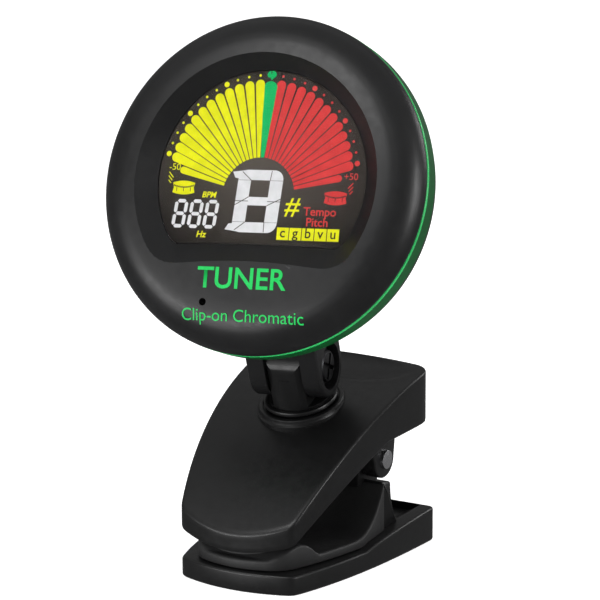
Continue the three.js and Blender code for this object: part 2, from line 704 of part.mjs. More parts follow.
function rearCover(buttons) {
  const front = -ringDepth - caseGap;
  const outer = turned([
    [0, front], [headRadius - 0.15, front], [headRadius, front - 0.2], [headRadius - 0.1, front - 1.2],
    [headRadius - 0.8, front - 2.6], [headRadius - 2.1, front - 3.8], [headRadius - 4.0, front - 4.7],
    [coverFlatRadius, -coverDepth], [0, -coverDepth],
  ], SHELL);
  const inner = turned([
    [0, front + 1], [headRadius - shellWall, front + 1], [headRadius - shellWall, front - 1],
    [headRadius - 2.9, front - 2.5], [headRadius - 5.2, front - 3.5], [coverFlatRadius - 1.3, coverInner], [0, coverInner],
  ]);
  const bosses = caseScrews.map(([x, z]) => faceRod(x, z, -coverDepth + 1.6, front - 0.2, casePostRadius));
  const bores = caseScrews.flatMap(([x, z]) => [
    faceRod(x, z, -coverDepth - 1, front + 1, caseScrewRadius + screwGap),
    faceRod(x, z, -coverDepth - 1, caseScrewSeat, caseScrewHead + screwGap),
  ]);
  const buttonHoles = buttons.map(({ x, z }) => faceRod(x, z, -coverDepth - 1, coverInner + 1, buttonRadius + buttonGap));
  const notches = [-1, 1].map((side) => {
    const reach = side * (doorRadius + doorTabReach + 0.4);
    return block(
      [Math.min(0, reach), coverDepth - shellWall - 1, cellZ - doorTabHalf - 0.3],
      [Math.max(0, reach), coverDepth + 1, cellZ + doorTabHalf + 0.3],
    );
  });
  const bracketBores = bracketScrewZ.map((z) =>
    faceRod(0, z, -coverDepth - 1, coverInner + 1, bracketScrewRadius + screwGap));
  return cut(
    join(cut(outer, inner), ...bosses),
    ...bores,
    ...buttonHoles,
    ...bracketBores,
    ...notches,
    faceRod(0, cellZ, -coverDepth - 1, coverInner + 1, doorRadius + doorGap, ROUND),
  );
}

// a round door that a coin turns: its two tabs pass the notches and lock under the cover's edge
function batteryDoor() {
  const face = -coverDepth + 0.05;
  const floor = face + doorThickness;
  const tabRear = floor + 2 * seatGap;
  const tabFloor = tabRear + doorTabDepth;
  const ring = cut(
    faceRod(0, cellZ, floor - 0.1, tabFloor, doorRadius - 0.1, ROUND),
    faceRod(0, cellZ, floor - 0.5, tabFloor + 1, doorRadius - doorWall, ROUND),
  );
  const tabReach = doorRadius + doorTabReach;
  const tabs = cut(
    common(
      faceRod(0, cellZ, tabRear, tabFloor, tabReach, ROUND),
      block([-tabReach, -tabFloor, cellZ - doorTabHalf], [tabReach, -floor, cellZ + doorTabHalf]),
    ),
    faceRod(0, cellZ, floor - 0.5, tabFloor + 1, doorRadius - doorWall, ROUND),
  );
  const slot = block([-coinSlotHalf, -face - 0.7, cellZ - 0.8], [coinSlotHalf, -face + 1, cellZ + 0.8]);
  const turnedTabs = tabs.transform(new THREE.Matrix4()
    .makeTranslation(0, 0, cellZ)
    .multiply(new THREE.Matrix4().makeRotationY(Math.PI / 4))
    .multiply(new THREE.Matrix4().makeTranslation(0, 0, -cellZ)).elements);
  return join(cut(faceRod(0, cellZ, face, floor, doorRadius, ROUND), slot), ring, turnedTabs);
}

const cellRear = -coverDepth + 0.05 + doorThickness + 0.35;
const coinCell = () => faceRod(0, cellZ, cellRear, cellRear + cellThickness, cellRadius, ROUND);

function negativeContact() {
  const front = boardRear - seatGap;
  return join(
    block([-6, -front, cellZ - 2.5], [6, -front + 0.2, cellZ + 2.5]),
    block([-6, -front, cellZ + 2.4], [-3, -front + 0.2, cellZ + 6]),
  );
}

function positiveContact() {
  const front = boardRear - seatGap;
  const near = cellRadius + 0.15;
  return join(
    block([near, -front, cellZ - 2], [near + 0.25, -front + 2.3, cellZ + 2]),
    block([near, -front, cellZ - 2], [near + 2.2, -front + 0.25, cellZ + 2]),
  );
}

function caseScrew(x, z) {
  const top = caseScrewSeat - seatGap;
  return cut(join(
    faceRod(x, z, top - caseScrewHeadHeight, top, caseScrewHead),
    faceRod(x, z, top - 0.1, 0.7, caseScrewRadius, 12),
  ), block([x - 1.1, -top + caseScrewHeadHeight - 0.4, z - 0.22], [x + 1.1, coverDepth, z + 0.22]));
}

function bracketScrew(z) {
  const seat = coverInner + seatGap;
  return join(
    faceRod(0, z, seat, seat + 1.0, bracketScrewHead),
    faceRod(0, z, -bracketScrewDepth + 0.4, seat + 0.1, bracketScrewRadius, 12),
  );
}

const switchFace = boardRear - seatGap - switchHeight;

function tactSwitch(x, z) {
  const half = switchSide / 2;
  return join(
    block([x - half, -boardRear + seatGap, z - half], [x + half, -switchFace, z + half]),
    faceRod(x, z, switchFace - 0.4, switchFace + 0.1, 0.8, 12),
  );
}

function buttonCap(x, z) {
  const outer = -coverDepth - buttonProud;
  const flange = coverInner + seatGap;
  return join(
    faceRod(x, z, outer + 0.3, flange + 0.1, buttonRadius),
    faceRod(x, z, outer, outer + 0.35, buttonRadius - 0.3),
    faceRod(x, z, flange, flange + buttonFlange, buttonRadius + 0.7),
    faceRod(x, z, flange, switchFace - 0.4 - buttonTravel - seatGap, 0.9, 12),
  );
}

// ---------------------------------------------------------------- assembly
const tuner = new THREE.Group();
const clip = new THREE.Group();
clip.position.y = -jawLength / 2;
tuner.add(clip);

const post = new THREE.Group();
post.position.set(0, postY, postZ);
post.rotation.x = postLean;
clip.add(post);

const swivel = new THREE.Group();
swivel.rotation.z = headSwivel;
post.add(swivel);

const tilt = new THREE.Group();
tilt.position.z = pivotHeight;
tilt.rotation.x = -headTilt;
swivel.add(tilt);

const face = new THREE.Group();
face.position.set(0, -headBack, headRise);
tilt.add(face);

place(clip, 'lower_jaw', lowerJaw(), clipBlack);
place(clip, 'lower_pad', lowerPad(), padGrey);
place(clip, 'pivot_pin', pivotPin(), steel);
place(clip, 'torsion_spring', torsionSpring(), steel);
place(clip, 'upper_jaw', upperJaw(), clipBlack);
place(clip, 'upper_pad', upperPad(), padGrey);

place(swivel, 'swivel_post', swivelPost(), clipBlack);
place(swivel, 'collar_ring', collarRing(), clipBlack);
place(swivel, 'swivel_screw', swivelScrew(), steel);
place(swivel, 'wave_washer', waveWasher(), steel);

place(tilt, 'yoke_bracket', yokeBracket(), shellBlack);
place(tilt, 'tilt_screw', tiltScrew(), blackSteel);
place(tilt, 'tilt_nut', tiltNut(), blackSteel);

const buttons = [
  { name: 'mode', x: 0.56 * headRadius, z: -0.16 * headRadius },
  { name: 'up', x: -0.58 * headRadius, z: 0.02 * headRadius },
  { name: 'down', x: -0.536 * headRadius, z: -0.264 * headRadius },
];
place(face, 'front_shell', frontShell(), shellBlack);
place(face, 'display_lens', displayLens(), lensClear);
place(face, 'accent_ring', accentRing(), ringGreen);
place(face, 'rear_cover', rearCover(buttons), shellBlack);
place(face, 'lcd_panel', lcdPanel(), panelDark);
place(face, 'light_guide', lightGuide(), guideWhite);
place(face, 'display_frame', displayFrame(), frameWhite);
place(face, 'contact_strip', contactStrip(), stripGrey);
place(face, 'circuit_board', circuitBoard(), boardGreen);
place(face, 'microphone', microphone(), steel);
place(face, 'buzzer', buzzer(), plastic(0x202022, 0.5));
place(face, 'piezo_sensor', piezoSensor(), brass);
place(face, 'coin_cell', coinCell(), steel);
place(face, 'negative_contact', negativeContact(), steel);
place(face, 'positive_contact', positiveContact(), steel);
place(face, 'battery_door', batteryDoor(), shellBlack);
caseScrews.forEach(([x, z], i) => place(face, `case_screw_${i + 1}`, caseScrew(x, z), blackSteel));
bracketScrewZ.forEach((z, i) => place(face, `bracket_screw_${i + 1}`, bracketScrew(z), steel));
buttons.forEach(({ name, x, z }) => {
  place(face, `${name}_switch`, tactSwitch(x, z), steel);
  place(face, `${name}_button`, buttonCap(x, z), padGrey);
});

export default tuner;
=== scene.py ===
# Looks of the clip-on tuner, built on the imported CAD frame. Local shapes are in millimetres.
import bmesh
import bpy
import json
import math
from mathutils import Matrix, Vector

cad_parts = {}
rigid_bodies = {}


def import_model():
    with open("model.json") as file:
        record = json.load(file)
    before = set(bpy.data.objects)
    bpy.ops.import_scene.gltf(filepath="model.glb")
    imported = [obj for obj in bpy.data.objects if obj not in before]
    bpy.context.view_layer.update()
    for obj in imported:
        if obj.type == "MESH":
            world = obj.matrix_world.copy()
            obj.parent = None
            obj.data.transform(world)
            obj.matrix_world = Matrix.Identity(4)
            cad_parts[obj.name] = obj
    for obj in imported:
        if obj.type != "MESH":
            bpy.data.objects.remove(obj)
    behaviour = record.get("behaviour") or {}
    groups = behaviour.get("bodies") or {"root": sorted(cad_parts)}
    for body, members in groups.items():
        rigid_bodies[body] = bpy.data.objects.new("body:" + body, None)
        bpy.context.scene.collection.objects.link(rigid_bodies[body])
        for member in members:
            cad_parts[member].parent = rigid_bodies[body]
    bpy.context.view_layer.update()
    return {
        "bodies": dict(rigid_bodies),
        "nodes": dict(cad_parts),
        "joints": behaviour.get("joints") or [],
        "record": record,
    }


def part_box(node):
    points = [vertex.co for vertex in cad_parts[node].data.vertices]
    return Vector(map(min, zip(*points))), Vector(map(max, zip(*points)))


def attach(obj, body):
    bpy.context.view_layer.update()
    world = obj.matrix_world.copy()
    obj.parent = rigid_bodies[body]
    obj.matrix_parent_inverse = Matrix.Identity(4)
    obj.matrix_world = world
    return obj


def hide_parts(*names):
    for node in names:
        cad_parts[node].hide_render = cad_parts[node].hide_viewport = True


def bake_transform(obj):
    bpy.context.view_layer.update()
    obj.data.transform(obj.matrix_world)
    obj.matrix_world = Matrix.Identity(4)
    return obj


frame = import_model()

MM = 0.001
CUTTER_BEVEL = 0.01  # rim of every cutting prism
joints = {j["name"]: j for j in frame["record"]["behaviour"]["joints"]}
nodes = frame["nodes"]

# ------------------------------------------------------------------ local frames
COVER = 9.2  # depth of the rear cover's flat back
RING_DEPTH = 3.75


def placement(origin, x_axis, y_axis, z_axis):
    m = Matrix((x_axis, y_axis, z_axis)).transposed().to_4x4()
    m.translation = origin
    return m


hinge_pos = Vector(joints["jaw_hinge"]["pos_m"])
tilt_axis = Vector(joints["head_tilt"]["axis"]).normalized()
tilt_pos = Vector(joints["head_tilt"]["pos_m"])
front = Vector(joints["door_turn"]["axis"]).normalized()
head_up = front.cross(tilt_axis).normalized()
post_axis = Vector(joints["post_swivel"]["axis"]).normalized()
post_pos = Vector(joints["post_swivel"]["pos_m"])
door_pos = Vector(joints["door_turn"]["pos_m"])
ring_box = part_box("accent_ring")
head_pos = (Vector(ring_box[0]) + Vector(ring_box[1])) / 2 + front * RING_DEPTH / 2 * MM
CELL_Z = (door_pos - head_pos).dot(head_up) / MM  # battery door's centre above the head's centre
lower_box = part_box("lower_jaw")
REAR = 34.4  # base's rear edge, from its front corners
clip_pos = Vector((0.0, lower_box[1][1] - REAR * MM, 0.0))
HINGE_Y = (hinge_pos.y - clip_pos.y) / MM
HINGE_Z = hinge_pos.z / MM

CLIP = placement(clip_pos, Vector((1, 0, 0)), Vector((0, 1, 0)), Vector((0, 0, 1)))
HEAD = placement(head_pos, tilt_axis, -front, head_up)
TILT = placement(tilt_pos, tilt_axis, -front, head_up)
POST = placement(post_pos, Vector((1, 0, 0)), post_axis.cross(Vector((1, 0, 0))), post_axis)
SWIVEL_X = (tilt_axis - post_axis * tilt_axis.dot(post_axis)).normalized()
SWIVEL = placement(post_pos, SWIVEL_X, post_axis.cross(SWIVEL_X), post_axis)


# ------------------------------------------------------------------ materials
def put(nt, node, inputs):
    """Fills a node's inputs: a socket is linked, and anything else is set as a constant."""
    for name, value in inputs.items():
        if isinstance(value, bpy.types.NodeSocket):
            nt.links.new(value, node.inputs[name])
        else:
            node.inputs[name].default_value = value
    return node


def tree(name):
    """A new material, with its nodes, its main shader and its object coordinates."""
    m = bpy.data.materials.new(name)
    m.use_nodes = True
    nt = m.node_tree
    return m, nt, nt.nodes["Principled BSDF"], nt.nodes.new("ShaderNodeTexCoord").outputs["Object"]


def noise(nt, coords, scale, detail=3.0, rough=0.5):
    inputs = {"Scale": scale, "Detail": detail, "Roughness": rough, "Vector": coords}
    return put(nt, nt.nodes.new("ShaderNodeTexNoise"), inputs).outputs["Fac"]


def ramp(nt, fac, low, high, start=0.3, end=0.7):
    inputs = {"From Min": start, "From Max": end, "To Min": low, "To Max": high, "Value": fac}
    return put(nt, nt.nodes.new("ShaderNodeMapRange"), inputs).outputs["Result"]


def colours(nt, fac, dark, light, start=0.3, end=0.7):
    r = nt.nodes.new("ShaderNodeValToRGB")
    for stop, position, colour in zip(r.color_ramp.elements, (start, end), (dark, light)):
        stop.position = position
        stop.color = (*colour, 1)
    return put(nt, r, {"Fac": fac}).outputs["Color"]


def bump(nt, height, strength, distance, base=None):
    inputs = {"Strength": strength, "Distance": distance, "Height": height}
    if base:
        inputs["Normal"] = base
    return put(nt, nt.nodes.new("ShaderNodeBump"), inputs).outputs["Normal"]


def surface(name, dark, light, rough, spread, grain=5200.0, depth=0.000012, strength=0.35, metal=0.0,
            wear=900.0, specular=0.5, stretch=(1, 1, 1)):
    """A surface with mottled colour, uneven gloss, fine grain and faint larger ripples."""
    m, nt, bsdf, coords = tree(name)
    mapped = put(nt, nt.nodes.new("ShaderNodeMapping"), {"Scale": stretch, "Vector": coords}).outputs["Vector"]
    patches = noise(nt, mapped, wear * 0.2, 4.0, 0.6)
    specks = noise(nt, mapped, wear, 6.0, 0.65)
    fine = noise(nt, mapped, grain, 2.0, 0.5)
    normal = bump(nt, patches, 0.12, 0.00003, bump(nt, fine, strength, depth))
    put(nt, bsdf, {"Base Color": colours(nt, patches, dark, light), "Normal": normal, "Metallic": metal,
                   "Roughness": ramp(nt, specks, rough - spread, rough + spread),
                   "Specular IOR Level": specular})
    return m


def glow(name, colour, power=0.95):
    """A lit display segment: faint mottling over a steady colour."""
    m, nt, bsdf, coords = tree(name)
    fac = noise(nt, coords, 600.0, 3.0)

    def shade(low, high):
        return colours(nt, fac, tuple(c * low for c in colour), tuple(c * high for c in colour))

    put(nt, bsdf, {"Base Color": shade(0.1, 0.14), "Emission Color": shade(0.9, 1.0),
                   "Emission Strength": power, "Roughness": ramp(nt, fac, 0.35, 0.5), "Specular IOR Level": 0.08})
    return m


SHELL = surface("shell_plastic", (0.0045, 0.0045, 0.0048), (0.0065, 0.0065, 0.0068), 0.38, 0.05, specular=0.3)
CLIP_PLASTIC = surface("clip_plastic", (0.0035, 0.0035, 0.0036), (0.005, 0.005, 0.0052), 0.36, 0.05,
                       grain=4300.0, specular=0.3)
RUBBER = surface("pad_rubber", (0.009, 0.009, 0.0092), (0.013, 0.013, 0.0133), 0.55, 0.07, grain=2600.0,
                 depth=0.00003, strength=0.5, specular=0.35)
CAP = surface("button_rubber", (0.014, 0.014, 0.015), (0.021, 0.021, 0.022), 0.6, 0.07, grain=3000.0,
              depth=0.00002)
# The green ring is one plastic in two copies: the front lip is painted brighter as a painted highlight, and the
# side band is painted darker as painted shade.
GREEN_LIP_PAINTED_HIGHLIGHT = surface("ring_lip_painted_highlight", (0.012, 0.30, 0.07), (0.02, 0.40, 0.10), 0.26, 0.04, grain=7000.0,
                depth=0.000004, strength=0.2)
GREEN_SIDE_PAINTED_SHADE = surface("ring_side_painted_shade", (0.002, 0.045, 0.010), (0.003, 0.06, 0.014), 0.34, 0.05, grain=7000.0,
                     depth=0.000004, strength=0.2, specular=0.2)
STEEL = surface("plated_steel", (0.52, 0.52, 0.54), (0.66, 0.66, 0.68), 0.26, 0.08, metal=1.0, grain=3800.0,
                depth=0.00001, stretch=(0.25, 1, 1))
BLACK_STEEL = surface("black_oxide", (0.03, 0.03, 0.032), (0.05, 0.05, 0.053), 0.36, 0.08, metal=1.0,
                      grain=3000.0)
BRASS = surface("brass_plate", (0.58, 0.42, 0.16), (0.72, 0.55, 0.25), 0.3, 0.08, metal=1.0, grain=2200.0)
WHITE = surface("white_moulding", (0.62, 0.62, 0.6), (0.72, 0.72, 0.7), 0.5, 0.06)
STRIP = surface("contact_rubber", (0.2, 0.21, 0.22), (0.28, 0.29, 0.3), 0.7, 0.06, grain=1500.0)
BOARD = surface("solder_mask", (0.01, 0.07, 0.025), (0.015, 0.1, 0.035), 0.35, 0.08, wear=1500.0)
PRINT = surface("legend_ink", (0.004, 0.34, 0.06), (0.006, 0.44, 0.08), 0.45, 0.05, specular=0.2)


def panel_material():
    """The dark display cell: a faint glow that is strongest in the middle and fades towards the edge."""
    m, nt, bsdf, coords = tree("display_cell")
    mapping = nt.nodes.new("ShaderNodeMapping")
    mapping.vector_type = "TEXTURE"
    place_of = head_pos + head_up * 0.004
    put(nt, mapping, {"Location": place_of, "Scale": (0.021, 0.021, 0.016), "Vector": coords})
    gradient = nt.nodes.new("ShaderNodeTexGradient")
    gradient.gradient_type = "SPHERICAL"
    put(nt, gradient, {"Vector": mapping.outputs["Vector"]})
    grain = noise(nt, coords, 2400.0, 3.0)
    mix = nt.nodes.new("ShaderNodeMath")
    mix.operation = "MULTIPLY"
    put(nt, mix, {0: gradient.outputs["Fac"], 1: ramp(nt, grain, 0.9, 1.1)})
    col = colours(nt, mix.outputs["Value"], (0.0065, 0.0055, 0.005), (0.052, 0.044, 0.038), 0.0, 0.85)
    put(nt, bsdf, {"Base Color": col, "Emission Color": col, "Emission Strength": 0.6,
                   "Roughness": ramp(nt, grain, 0.28, 0.36), "Specular IOR Level": 0.06})
    return m


def lens_material():
    m, nt, bsdf, coords = tree("clear_window")
    fac = noise(nt, coords, 900.0, 4.0)
    put(nt, bsdf, {"Base Color": colours(nt, fac, (0.93, 0.94, 0.93), (0.98, 0.98, 0.98)),
                   "Roughness": ramp(nt, fac, 0.02, 0.05), "Transmission Weight": 1.0, "IOR": 1.12})
    return m


PANEL = panel_material()
LENS = lens_material()
YELLOW_LIT = glow("lit_yellow", (0.80, 0.80, 0.008))
RED_LIT = glow("lit_red", (0.66, 0.045, 0.045))
GREEN_LIT = glow("lit_green", (0.004, 0.46, 0.12))
WHITE_LIT = glow("lit_white", (0.76, 0.76, 0.78))


# ------------------------------------------------------------------ mesh helpers
def place(name, data, matrix=None):
    """A new object in the scene, with its matrix if it has one."""
    obj = bpy.data.objects.new(name, data)
    bpy.context.scene.collection.objects.link(obj)
    if matrix is not None:
        obj.matrix_world = matrix
    return obj


def arc(radius, first, last, half_turn, x=0.0, y=0.0):
    """Points of a circle, from step first to step last, with half_turn steps to 180 degrees."""
    return [(x + radius * math.cos(math.pi * k / half_turn), y + radius * math.sin(math.pi * k / half_turn))
            for k in range(first, last + 1)]


def sharpen(bm, sharp):
    """Smooth faces, with sharp edges where two faces meet at more than the angle."""
    limit = math.radians(sharp)
    for face in bm.faces:
        face.smooth = True
    for edge in bm.edges:
        edge.smooth = not (len(edge.link_faces) == 2 and edge.calc_face_angle(0.0) > limit)
    return limit


def finish_mesh(name, bm, matrix, material, sharp=32.0):
    bmesh.ops.remove_doubles(bm, verts=bm.verts, dist=0.0004)
    bmesh.ops.recalc_face_normals(bm, faces=bm.faces)
    sharpen(bm, sharp)
    for vert in bm.verts:
        vert.co *= MM
    mesh = bpy.data.meshes.new(name)
    bm.to_mesh(mesh)
    bm.free()
    mesh.materials.append(material)
    return place(name, mesh, matrix)


def bridge(bm, a, b):
    """Faces between two closed rings of the same number of points."""
    count = len(a)
    for i in range(count):
        j = (i + 1) % count
        quad = [a[i], a[j], b[j], b[i]]
        if len(set(quad)) >= 3:
            try:
                bm.faces.new(list(dict.fromkeys(quad)))
            except ValueError:
                pass


def skin(bm, rows, ends=False):
    """Faces between rows of points, and over the first and the last row."""
    for a, b in zip(rows, rows[1:]):
        bridge(bm, a, b)
    if ends:
        bm.faces.new(rows[0])
        bm.faces.new(rows[-1])


def smooth_path(points, steps=8):
    """A Catmull-Rom curve through the points; a point given as (a, b, 1) keeps its corner."""
    flat = [Vector((p[0], p[1])) for p in points]
    hard = [len(p) > 2 for p in points]
    out = []
    for i in range(len(flat) - 1):
        p1, p2 = flat[i], flat[i + 1]
        p0 = flat[i - 1] if i > 0 and not hard[i] else p1
        p3 = flat[i + 2] if i + 2 < len(flat) and not hard[i + 1] else p2
        for k in range(steps):
            t = k / steps
            out.append(0.5 * ((2 * p1) + (p2 - p0) * t + (2 * p0 - 5 * p1 + 4 * p2 - p3) * t * t
                              + (3 * p1 - p0 - 3 * p2 + p3) * t ** 3))
    out.append(flat[-1])
    return out


def lathe(profile, count=192, axis="Y"):
    """Turns (radius, depth) points about the head's face axis (depth forward, -Y) or about Z (height)."""
    bm = bmesh.new()
    turn = [2 * math.pi * k / count for k in range(count)]

    def vert(x, y, h):
        return bm.verts.new((x, -h, y) if axis == "Y" else (x, y, h))

    skin(bm, [[vert(radius * math.cos(a), radius * math.sin(a), depth) for a in turn] if radius >= 1e-6
              else [vert(0, 0, depth)] * count for radius, depth in profile])
    return bm


def rounded(points, radius, steps=4):
    """A closed outline with its corners rounded; a point may carry its own radius."""
    out = []
    count = len(points)
    for i, p in enumerate(points):
        r = p[2] if len(p) > 2 else radius
        here = Vector(p[:2])
        before = Vector(points[i - 1][:2]) - here
        after = Vector(points[(i + 1) % count][:2]) - here
        reach = min(r, before.length * 0.48, after.length * 0.48)
        if reach < 1e-4:
            out.append(here)
            continue
        a = here + before.normalized() * reach
        b = here + after.normalized() * reach
        for k in range(steps + 1):
            t = k / steps
            out.append(a * (1 - t) ** 2 + here * 2 * t * (1 - t) + b * t * t)
    return out


def offset(outline, distance):
    """The closed outline moved inwards along its normals."""
    area = sum(a.x * b.y - b.x * a.y for a, b in zip(outline, outline[1:] + outline[:1]))
    side = 1 if area > 0 else -1
    out = []
    count = len(outline)
    for i, p in enumerate(outline):
        d1 = p - outline[i - 1]
        d2 = outline[(i + 1) % count] - p
        if d1.length < 1e-7 or d2.length < 1e-7:
            out.append(p.copy())
            continue
        n1 = Vector((-d1.y, d1.x)).normalized() * side
        n2 = Vector((-d2.y, d2.x)).normalized() * side
        n = n1 + n2
        n = n.normalized() if n.length > 1e-6 else n1
        scale = 1 / max(n.dot(n1), 0.4)
        out.append(p + n * distance * scale)
    return out


def prism(outline, low, high, bevel, to3d, steps=3):
    """An outline pushed from low to high with rounded rims. to3d maps (a, b, h) to a point."""
    bm = bmesh.new()
    outline = [Vector(p) for p in outline]
    turn = [math.pi / 2 * k / steps for k in range(steps + 1)]
    rings = [(bevel * (1 - math.sin(a)), low + bevel * (1 - math.cos(a))) for a in turn]
    rings += [(bevel * (1 - math.cos(a)), high - bevel * (1 - math.sin(a))) for a in turn]
    made = [[bm.verts.new(to3d(p.x, p.y, h)) for p in offset(outline, inset)] for inset, h in rings]
    skin(bm, made)
    bm.faces.new(made[0])
    bm.faces.new(list(reversed(made[-1])))
    return bm


def along_x(a, b, h):
    return (h, a, b)


def forward(a, b, h):
    return (a, -h, b)


def boolean(obj, cutter, operation="DIFFERENCE"):
    mod = obj.modifiers.new("cut", "BOOLEAN")
    mod.operation = operation
    mod.solver = "EXACT"
    mod.object = cutter
    dg = bpy.context.evaluated_depsgraph_get()
    mesh = bpy.data.meshes.new_from_object(obj.evaluated_get(dg))
    obj.modifiers.remove(mod)
    old = obj.data
    mats = list(old.materials)
    obj.data = mesh
    mesh.materials.clear()
    for m in mats:
        mesh.materials.append(m)
    for poly in mesh.polygons:
        poly.material_index = 0
    bpy.data.meshes.remove(old)
    bpy.data.objects.remove(cutter, do_unlink=True)


def cut(obj, outline, low, high, frame, to3d=along_x, operation="DIFFERENCE"):
    """Cuts the outline, pushed from low to high, out of the object."""
    prism_bm = prism(outline, low, high, CUTTER_BEVEL, to3d, 1)
    boolean(obj, finish_mesh("cutter", prism_bm, frame, obj.data.materials[0]), operation)


def crisp(obj, sharp=30.0, bevel=0.0, segments=2):
    """Smooth faces with sharp edges by angle, and a small bevel along the sharp ones."""
    bm = bmesh.new()
    bm.from_mesh(obj.data)
    bmesh.ops.remove_doubles(bm, verts=bm.verts, dist=1e-7)
    limit = sharpen(bm, sharp)
    bm.to_mesh(obj.data)
    bm.free()
    if bevel:
        mod = obj.modifiers.new("rim", "BEVEL")
        mod.width = bevel * MM
        mod.segments = segments
        mod.limit_method = "ANGLE"
        mod.angle_limit = limit
        mod.harden_normals = True


def merge(name, objs):
    """One new object, in the first one's frame, of the objects with their modifiers applied."""
    bm = bmesh.new()
    base = objs[0]
    for obj in objs:
        dg = bpy.context.evaluated_depsgraph_get()
        mesh = obj.evaluated_get(dg).to_mesh()
        copy = mesh.copy()
        copy.transform(base.matrix_world.inverted() @ obj.matrix_world)
        bm.from_mesh(copy)
        bpy.data.meshes.remove(copy)
    mesh = bpy.data.meshes.new(name)
    bm.to_mesh(mesh)
    bm.free()
    for m in base.data.materials:
        mesh.materials.append(m)
    matrix = base.matrix_world.copy()
    for obj in objs:
        bpy.data.objects.remove(obj, do_unlink=True)
    return place(name, mesh, matrix)


def bake(obj):
    """Puts the object's place into its mesh, as the CAD nodes have it."""
    obj.data.transform(obj.matrix_world)
    obj.matrix_world = Matrix.Identity(4)


def piece(obj, body, slot, *replaced):
    bake(obj)
    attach(obj, body)
    if replaced:
        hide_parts(*replaced)
    return obj


# ------------------------------------------------------------------ clip outlines
FRONT_HALF, REAR_HALF, FLARE_X, FLARE_Y = 9.65, 14.2, 14.0, 0.35 * REAR
BOW = 1.95


def quad(a, b, c, t):
    return a * (1 - t) ** 2 + b * 2 * t * (1 - t) + c * t * t


def lengths_along(line):
    lengths = [0.0]
    for p, q in zip(line, line[1:]):
        lengths.append(lengths[-1] + (q - p).length)
    return lengths


def point_at(line, lengths, distance):
    """The point of a line at a distance along it."""
    for k in range(1, len(line)):
        if lengths[k] >= distance:
            span = lengths[k] - lengths[k - 1]
            return line[k - 1].lerp(line[k], (distance - lengths[k - 1]) / span if span else 0)
    return line[-1].copy()


def clip_outline(inset=0.0, front_inset=None, length=REAR, corner=1.3, rear_corner=1.2, rear_bow=0.0,
                 count=26):
    """The flared outline of both jaws, with rounded corners, always with the same number of points."""
    front_inset = inset if front_inset is None else front_inset
    a = Vector((-(FRONT_HALF - inset), front_inset))
    b = Vector((FRONT_HALF - inset, front_inset))
    bow = Vector((0, -2 * BOW + front_inset))
    rear_y = length - inset - rear_bow
    ctrl = Vector((FLARE_X - inset, FLARE_Y))
    end = Vector((REAR_HALF - inset, rear_y))
    corner = max(corner - inset * 0.5, 0.25)
    rear_corner = max(rear_corner - inset * 0.7, 0.2)
    front_line = [quad(a, bow, b, k / 60) for k in range(61)]
    side = [quad(b, ctrl, end, k / 80) for k in range(81)]
    rear_ctrl = Vector((0, rear_y + 2 * rear_bow))
    rear = [quad(end, rear_ctrl, Vector((-end.x, end.y)), k / 60) for k in range(61)]
    left = [Vector((-p.x, p.y)) for p in reversed(side)]
    curves = [front_line, side, rear, left]
    reach = [corner, rear_corner, rear_corner, corner]
    out = []
    for i, line in enumerate(curves):
        lengths = lengths_along(line)
        start, stop = reach[i - 1], lengths[-1] - reach[i]
        for k in range(count + 1):
            out.append(point_at(line, lengths, start + (stop - start) * k / count))
        nxt = curves[(i + 1) % 4]
        p0, p1 = point_at(line, lengths, stop), line[-1]
        step = (nxt[4] - nxt[0]).normalized() * reach[i]
        p2 = nxt[0] + step
        for k in range(1, 7):
            out.append(quad(p0, p1, p2, k / 7))
    return out


def half_width(y, inset=0.0):
    """Half width of the outline at a distance from the front corners."""
    c = -y
    b = 2 * FLARE_Y
    a = REAR - 2 * FLARE_Y
    t = (-b + math.sqrt(max(b * b - 4 * a * c, 0))) / (2 * a)
    t = min(max(t, 0.0), 1.0)
    return quad(FRONT_HALF, FLARE_X, REAR_HALF, t) - inset


def ring_cap(name, rings, fills, matrix, material, spine=(3.0, 30.0), sharp=40.0):
    """Closed solid from outline rings. rings is [(outline, height function)] and fills gives the number of
    steps and height function that close its first and its last ring towards the spine."""
    bm = bmesh.new()
    made = [[bm.verts.new((p.x, p.y, height(p.x, p.y))) for p in line] for line, height in rings]
    skin(bm, made)
    for ring, line, (steps, height) in ((made[0], rings[0][0], fills[0]), (made[-1], rings[-1][0], fills[1])):
        last = ring
        for k in range(1, steps + 1):
            t = k / steps
            row = []
            for p in line:
                s = Vector((0, min(max(p.y, spine[0]), spine[1])))
                q = p.lerp(s, t)
                row.append(bm.verts.new((q.x, q.y, height(q.x, q.y))))
            bridge(bm, last, row)
            last = row
    return finish_mesh(name, bm, matrix, material, sharp)


def rim(outlines, top, radius, steps=4):
    """Rings that round an edge from the wall up to the surface 'top'."""
    out = []
    for k in range(steps + 1):
        a = math.pi / 2 * k / steps
        inset = radius * (1 - math.cos(a))
        drop = radius * (1 - math.sin(a))
        out.append((outlines(inset), lambda x, y, d=drop: top(x, y) - d))
    return out


def rim_below(outlines, bottom, radius, steps=3):
    """Rings that round an edge from the surface 'bottom' up to the wall."""
    out = []
    for k in range(steps + 1):
        a = math.pi / 2 * k / steps
        inset = radius * (1 - math.sin(a))
        lift = radius * (1 - math.cos(a))
        out.append((outlines(inset), lambda x, y, d=lift: bottom(x, y) + d))
    return out


def blend01(t):
    t = min(max(t, 0.0), 1.0)
    return t * t * (3 - 2 * t)


# ------------------------------------------------------------------ upper jaw
ARCH_R, ARCH_Y, ARCH_Z = 57.3, REAR + 6.5, -29.3
PLATE, FLANGE = 2.0, 1.8
FLANGE_MID = (HINGE_Y - 3.0, 18.7)
FLANGE_BEND = (FLANGE_MID[0] - 12.3, 14.55)
NOSE = (-BOW, 5.8)
UPPER_LENGTH = REAR + 0.2
SCOOP_Y, SCOOP_HALF_X, SCOOP_HALF_Y, SCOOP_DEPTH = REAR - 4.4, 12.2, 4.3, 1.1
EDGE, LOWER_EDGE = 0.42, 0.35  # rounding of the upper jaw's rims
LUG_R = 2.9  # hinge lugs and ears, about the pin


